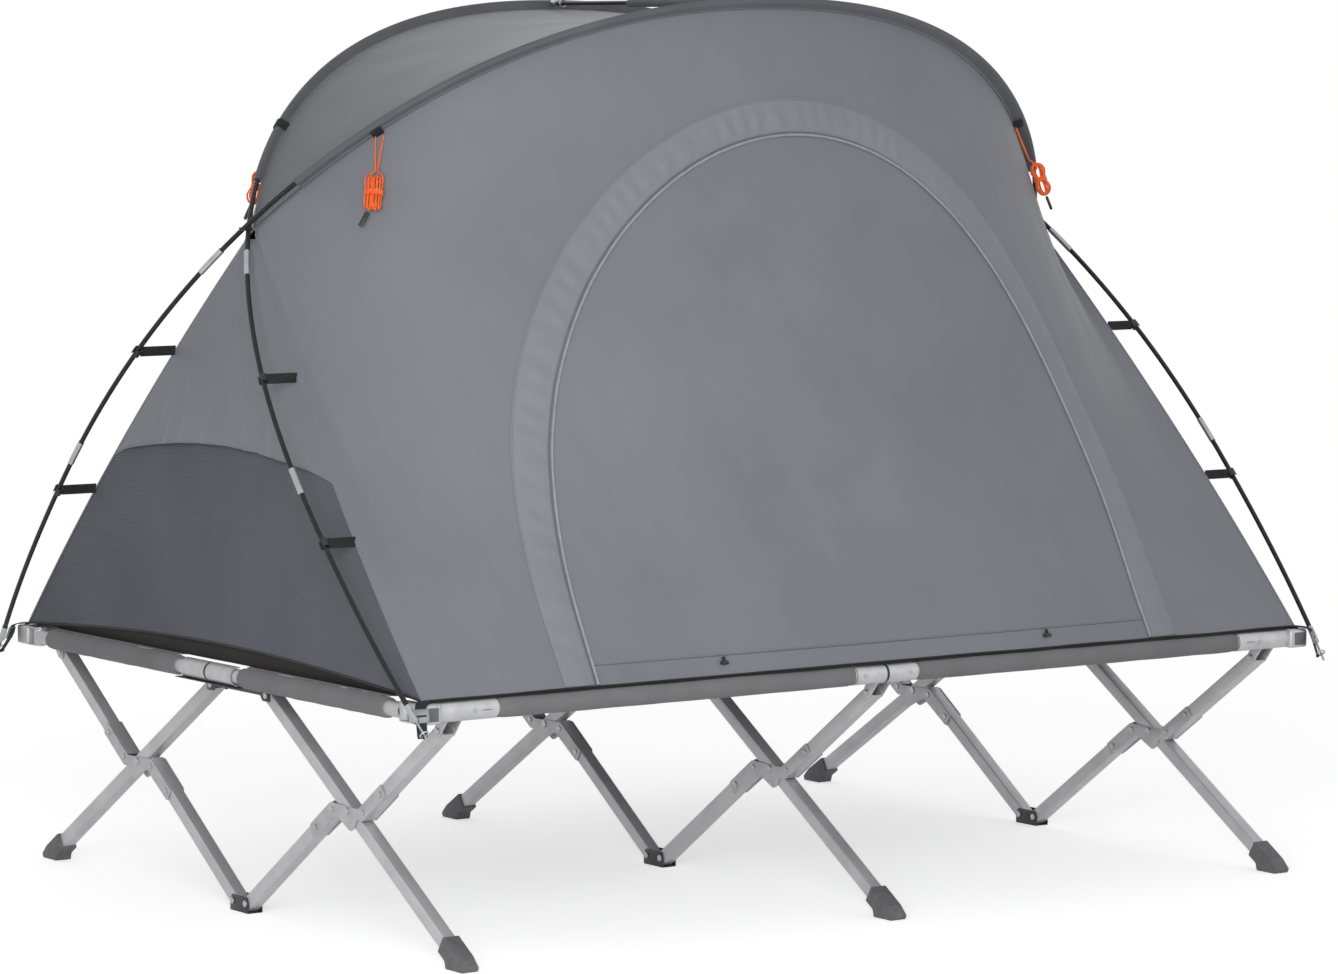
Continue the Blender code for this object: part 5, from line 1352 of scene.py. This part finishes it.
class COT_OT_legs(bpy.types.Operator):
    """Make the scissor legs: tubes, stamped hub brackets, rivets and feet"""
    bl_idname = "cot.legs"
    bl_label = "Scissor legs"

    def execute(self, context):
        edge = context.scene.cot_frame.edge

        def tube(bm, flip, start, stop):
            add(bm, leg_tube((stop - start).length, edge), flip @ along(start, stop))

        for side, sign_y in SIDES:
            for word, x in FRAMES:
                flip = at(x * PITCH, 0, 0) @ Matrix.Diagonal((1, sign_y, 1, 1))
                bm = fresh()
                tube(bm, flip, TOP_PIN - DOWN * 0.008, FOOT_END)
                rivet_heads(bm, TOP_PIN, 0.0064, 0.0030, 0.0155, flip, 1)
                rivet_heads(bm, HUB, 0.0072, 0.0030, 0.0157, flip, 1)
                show(f"outer_leg_tube_{side}_{word}", bm, ["tube", "bright"], side + "_outer_legs",
                     [f"outer_leg_{side}_{word}"])

                bm = fresh()
                for pin, rivet in ((BOTTOM_PIN, LOW_RIVET), (RAIL_PIN, HIGH_RIVET)):
                    ahead = (rivet - pin).normalized()
                    tube(bm, flip, pin - ahead * 0.008, rivet + ahead * 0.078)
                    rivet_heads(bm, pin, 0.0064, 0.0030, 0.0164, flip, 2)
                    for spot in (rivet, rivet + ahead * 0.070):
                        rivet_heads(bm, spot, 0.0056, 0.0022, 0.0157, flip, 2)
                side_plates(bm, HUB_OUTLINE, PLATE_X, flip, 0.0035, 1)
                show(f"inner_leg_tube_{side}_{word}", bm, ["tube", "plate", "bright"], side + "_inner_legs",
                     [f"inner_leg_{side}_{word}"])

                bm = fresh()
                add(bm, plate(FOOT_OUTLINE, 0.033, 0.0022, 0.0014), flip @ ACROSS)
                show(f"foot_cap_{side}_{word}", bm, ["foot"], side + "_outer_legs", [f"foot_{side}_{word}"],
                     "foot_plastic", sharp=50)
        return {"FINISHED"}


def arc(radius, start, steps, middle=(0.0, 0.0)):
    """Half a circle from an angle on."""
    return [(middle[0] + radius * math.cos(t), middle[1] + radius * math.sin(t))
            for t in spread(start, start + math.pi, steps)]


def ear(wide):
    """Outline (Y, Z) of a plate of this half width from a rail's axis to the leg's pin under it."""
    axis = Vector((0, RAIL_Y, RAIL_Z)) - RAIL_PIN
    lean = math.atan2(axis.z, axis.y)
    side = Vector((0, -math.sin(lean), math.cos(lean))) * wide
    rim = arc(0.011, lean + math.pi / 2, 10, (RAIL_PIN.y, RAIL_PIN.z))
    return rim + [(RAIL_Y - side.y, RAIL_Z - side.z), (RAIL_Y + side.y, RAIL_Z + side.z)]


class COT_OT_fittings(bpy.types.Operator):
    """Make the brackets, corners, couplings and end bars, and give the rails their finish"""
    bl_idname = "cot.fittings"
    bl_label = "Brackets and fittings"

    def execute(self, context):
        for name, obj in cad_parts.items():
            if name.startswith("rail_") and not name.startswith("rail_coupling"):
                for slot in obj.material_slots:
                    slot.material = finish("tube")
        for word, x in FRAMES:
            place = at(x * PITCH, 0, 0) @ Matrix.Diagonal((x or 1, 1, 1, 1))
            bm = fresh()
            side_plates(bm, SKIRT_OUTLINE, PLATE_X, place, 0.0022)
            wide = 0.0298 + (SHELF if x else 0.0)
            add(bm, block((wide, 0.224, 0.0015), 0.0005), place @ at(wide / 2 - 0.0149, 0, 0.42615))
            for end_y in (-0.094, 0.094) if x else ():
                stud(bm, place, (0.028, end_y, 0.4275), Z, 0.0045, 0.0016, 1, edge=0.0006, sides=24)
            show("top_channel_" + word, bm, ["steel", "bright"], ROOT, ["top_bracket_" + word], "bracket_black")
            bm = fresh()
            side_plates(bm, CHEEK_OUTLINE, EAR_X, place, 0.0030)
            add(bm, block((0.0308, 0.065, 0.0020), 0.0006), place @ at(0, 0, 0.0010))
            show("floor_channel_" + word, bm, ["steel"], "bottom_brackets", ["bottom_bracket_" + word],
                 "bracket_black")

        for side, _ in SIDES:
            bm = fresh()
            for end, _ in ENDS:
                flip = quarter(side, end)
                rod(bm, flip, (0.003, RAIL_Y, RAIL_Z), (0.068, RAIL_Y, RAIL_Z), 0.0175, side=Z, wall=0.0024, sides=48,
                    depth=0.004)
                add(bm, plate(ear(0.0150), PLATE, 0.0, PLATE_RIM), flip @ at(EAR_X, 0, 0) @ ACROSS)
                add(bm, block((0.0120, 0.0026, 0.0050), 0.0008), flip @ at(0.040, RAIL_Y - 0.0168, RAIL_Z))
                stud(bm, flip, (0.052, RAIL_Y + 0.0179, RAIL_Z), Y, 0.0042, 0.0018, 2, edge=0.0007, sides=24)
            ends = [quarter(side, end) @ Vector((0.003, RAIL_Y, RAIL_Z)) for end, _ in ENDS]
            rod(bm, Matrix(), *ends, 0.0165, 1, Z, sides=48)
            show("coupling_" + side, bm, ["cast", "black", "bright"], side + "_rail", ["rail_coupling_" + side])

        hinge = Vector((END_X, HINGE_Y, RAIL_Z))
        tongue = arc(0.012, math.pi, 12, (END_X, HINGE_Y)) + [(END_X + 0.012, 0.698), (END_X - 0.012, 0.698)]
        for side, end in QUARTERS:
            flip = quarter(side, end)
            bm = fresh()
            rod(bm, flip, (0.837, RAIL_Y, RAIL_Z), (0.960, RAIL_Y, RAIL_Z), 0.018, side=Z, wall=0.0028, sides=48,
                depth=0.004)
            add(bm, block((0.041, 0.043, 0.035), 0.004, 3), flip @ at(0.9775, 0.7135, RAIL_Z))
            add(bm, block((0.034, 0.0030, 0.030), 0.0012), flip @ at(END_X - 0.0065, 0.7355, RAIL_Z))
            add(bm, block((0.028, 0.0040, 0.024), 0.0012), flip @ at(END_X - 0.0065, 0.7360, RAIL_Z), 1)
            add(bm, block((0.020, 0.0010, 0.0014)), flip @ at(0.862, RAIL_Y + 0.0178, RAIL_Z), 1)
            side_plates(bm, ear(0.0130), EAR_X, flip @ at(PITCH, 0, 0), 0.0)
            for face in (-1, 1):
                add(bm, plate(tongue, 0.0022, 0.0, 0.0005), flip @ at(0, 0, RAIL_Z + face * 0.0160))
                stud(bm, flip, hinge + Z * face * 0.0176, Z, 0.0052, 0.0016, 2, edge=0.0006, sides=24)
            stud(bm, flip, hinge, Z, 0.003, 0.034, 2, sides=20)
            stud(bm, flip, (0.885, RAIL_Y + 0.0182, RAIL_Z), Y, 0.0046, 0.0020, 2, edge=0.0008, sides=24)
            show(f"corner_casting_{side}_{end}", bm, ["cast", "plug", "bright"], side + "_rail",
                 [f"corner_{side}_{end}"])
            bm = fresh()
            rod(bm, flip, (END_X, 0.050, RAIL_Z), (END_X, 0.659, RAIL_Z), 0.014, wall=0.0015, sides=40)
            stud(bm, flip, hinge, Z, 0.012, 0.029, edge=0.0006)
            show(f"end_tube_{side}_{end}", bm, ["tube"], f"end_bar_{side}_{end}", [f"end_bar_{side}_{end}"])

        for end, _ in ENDS:
            bm = fresh()
            for side, _ in SIDES:
                add(bm, shell(0.0178, 0.0024, 0.088, -105, 210),
                    quarter(side, end) @ placement(Vector((END_X, 0.048, RAIL_Z)), Y, X))
            add(bm, shell(0.0172, 0.0024, 0.008, -105, 210),
                quarter("back", end) @ placement(Vector((END_X, 0, RAIL_Z)), Y, X), 1)
            show("end_cradle_" + end, bm, ["cast", "black"], ROOT, ["end_bar_trough_" + end])
        return {"FINISHED"}


OPERATORS = (COT_OT_stage, COT_OT_guy_lines, COT_OT_corner_straps, COT_OT_roof, COT_OT_walls, COT_OT_door,
             COT_OT_floor_sheet, COT_OT_poles, COT_OT_bed, COT_OT_legs, COT_OT_fittings)
GROUPS = (FrameLook, ClothLook, LineLook)


class COT_PT_panel(bpy.types.Panel):
    """Lists the sizes and the pieces of the tent cot"""
    bl_label = "Tent Cot"
    bl_idname = "COT_PT_panel"
    bl_space_type = "VIEW_3D"
    bl_region_type = "UI"
    bl_category = "Tent Cot"

    def draw(self, context):
        for group in (context.scene.cot_frame, context.scene.cot_cloth, context.scene.cot_line):
            for name in group.__annotations__:
                self.layout.prop(group, name)
        for operator in OPERATORS:
            self.layout.operator(operator.bl_idname)


def register():
    for cls in (*GROUPS, *OPERATORS, COT_PT_panel):
        bpy.utils.register_class(cls)
    bpy.types.Scene.cot_frame = PointerProperty(type=FrameLook)
    bpy.types.Scene.cot_cloth = PointerProperty(type=ClothLook)
    bpy.types.Scene.cot_line = PointerProperty(type=LineLook)


def unregister():
    del bpy.types.Scene.cot_line, bpy.types.Scene.cot_cloth, bpy.types.Scene.cot_frame
    for cls in reversed((*GROUPS, *OPERATORS, COT_PT_panel)):
        bpy.utils.unregister_class(cls)


def main():
    register()
    for operator in OPERATORS:
        group, name = operator.bl_idname.split(".")
        getattr(getattr(bpy.ops, group), name)()


if __name__ == "__main__":
    main()
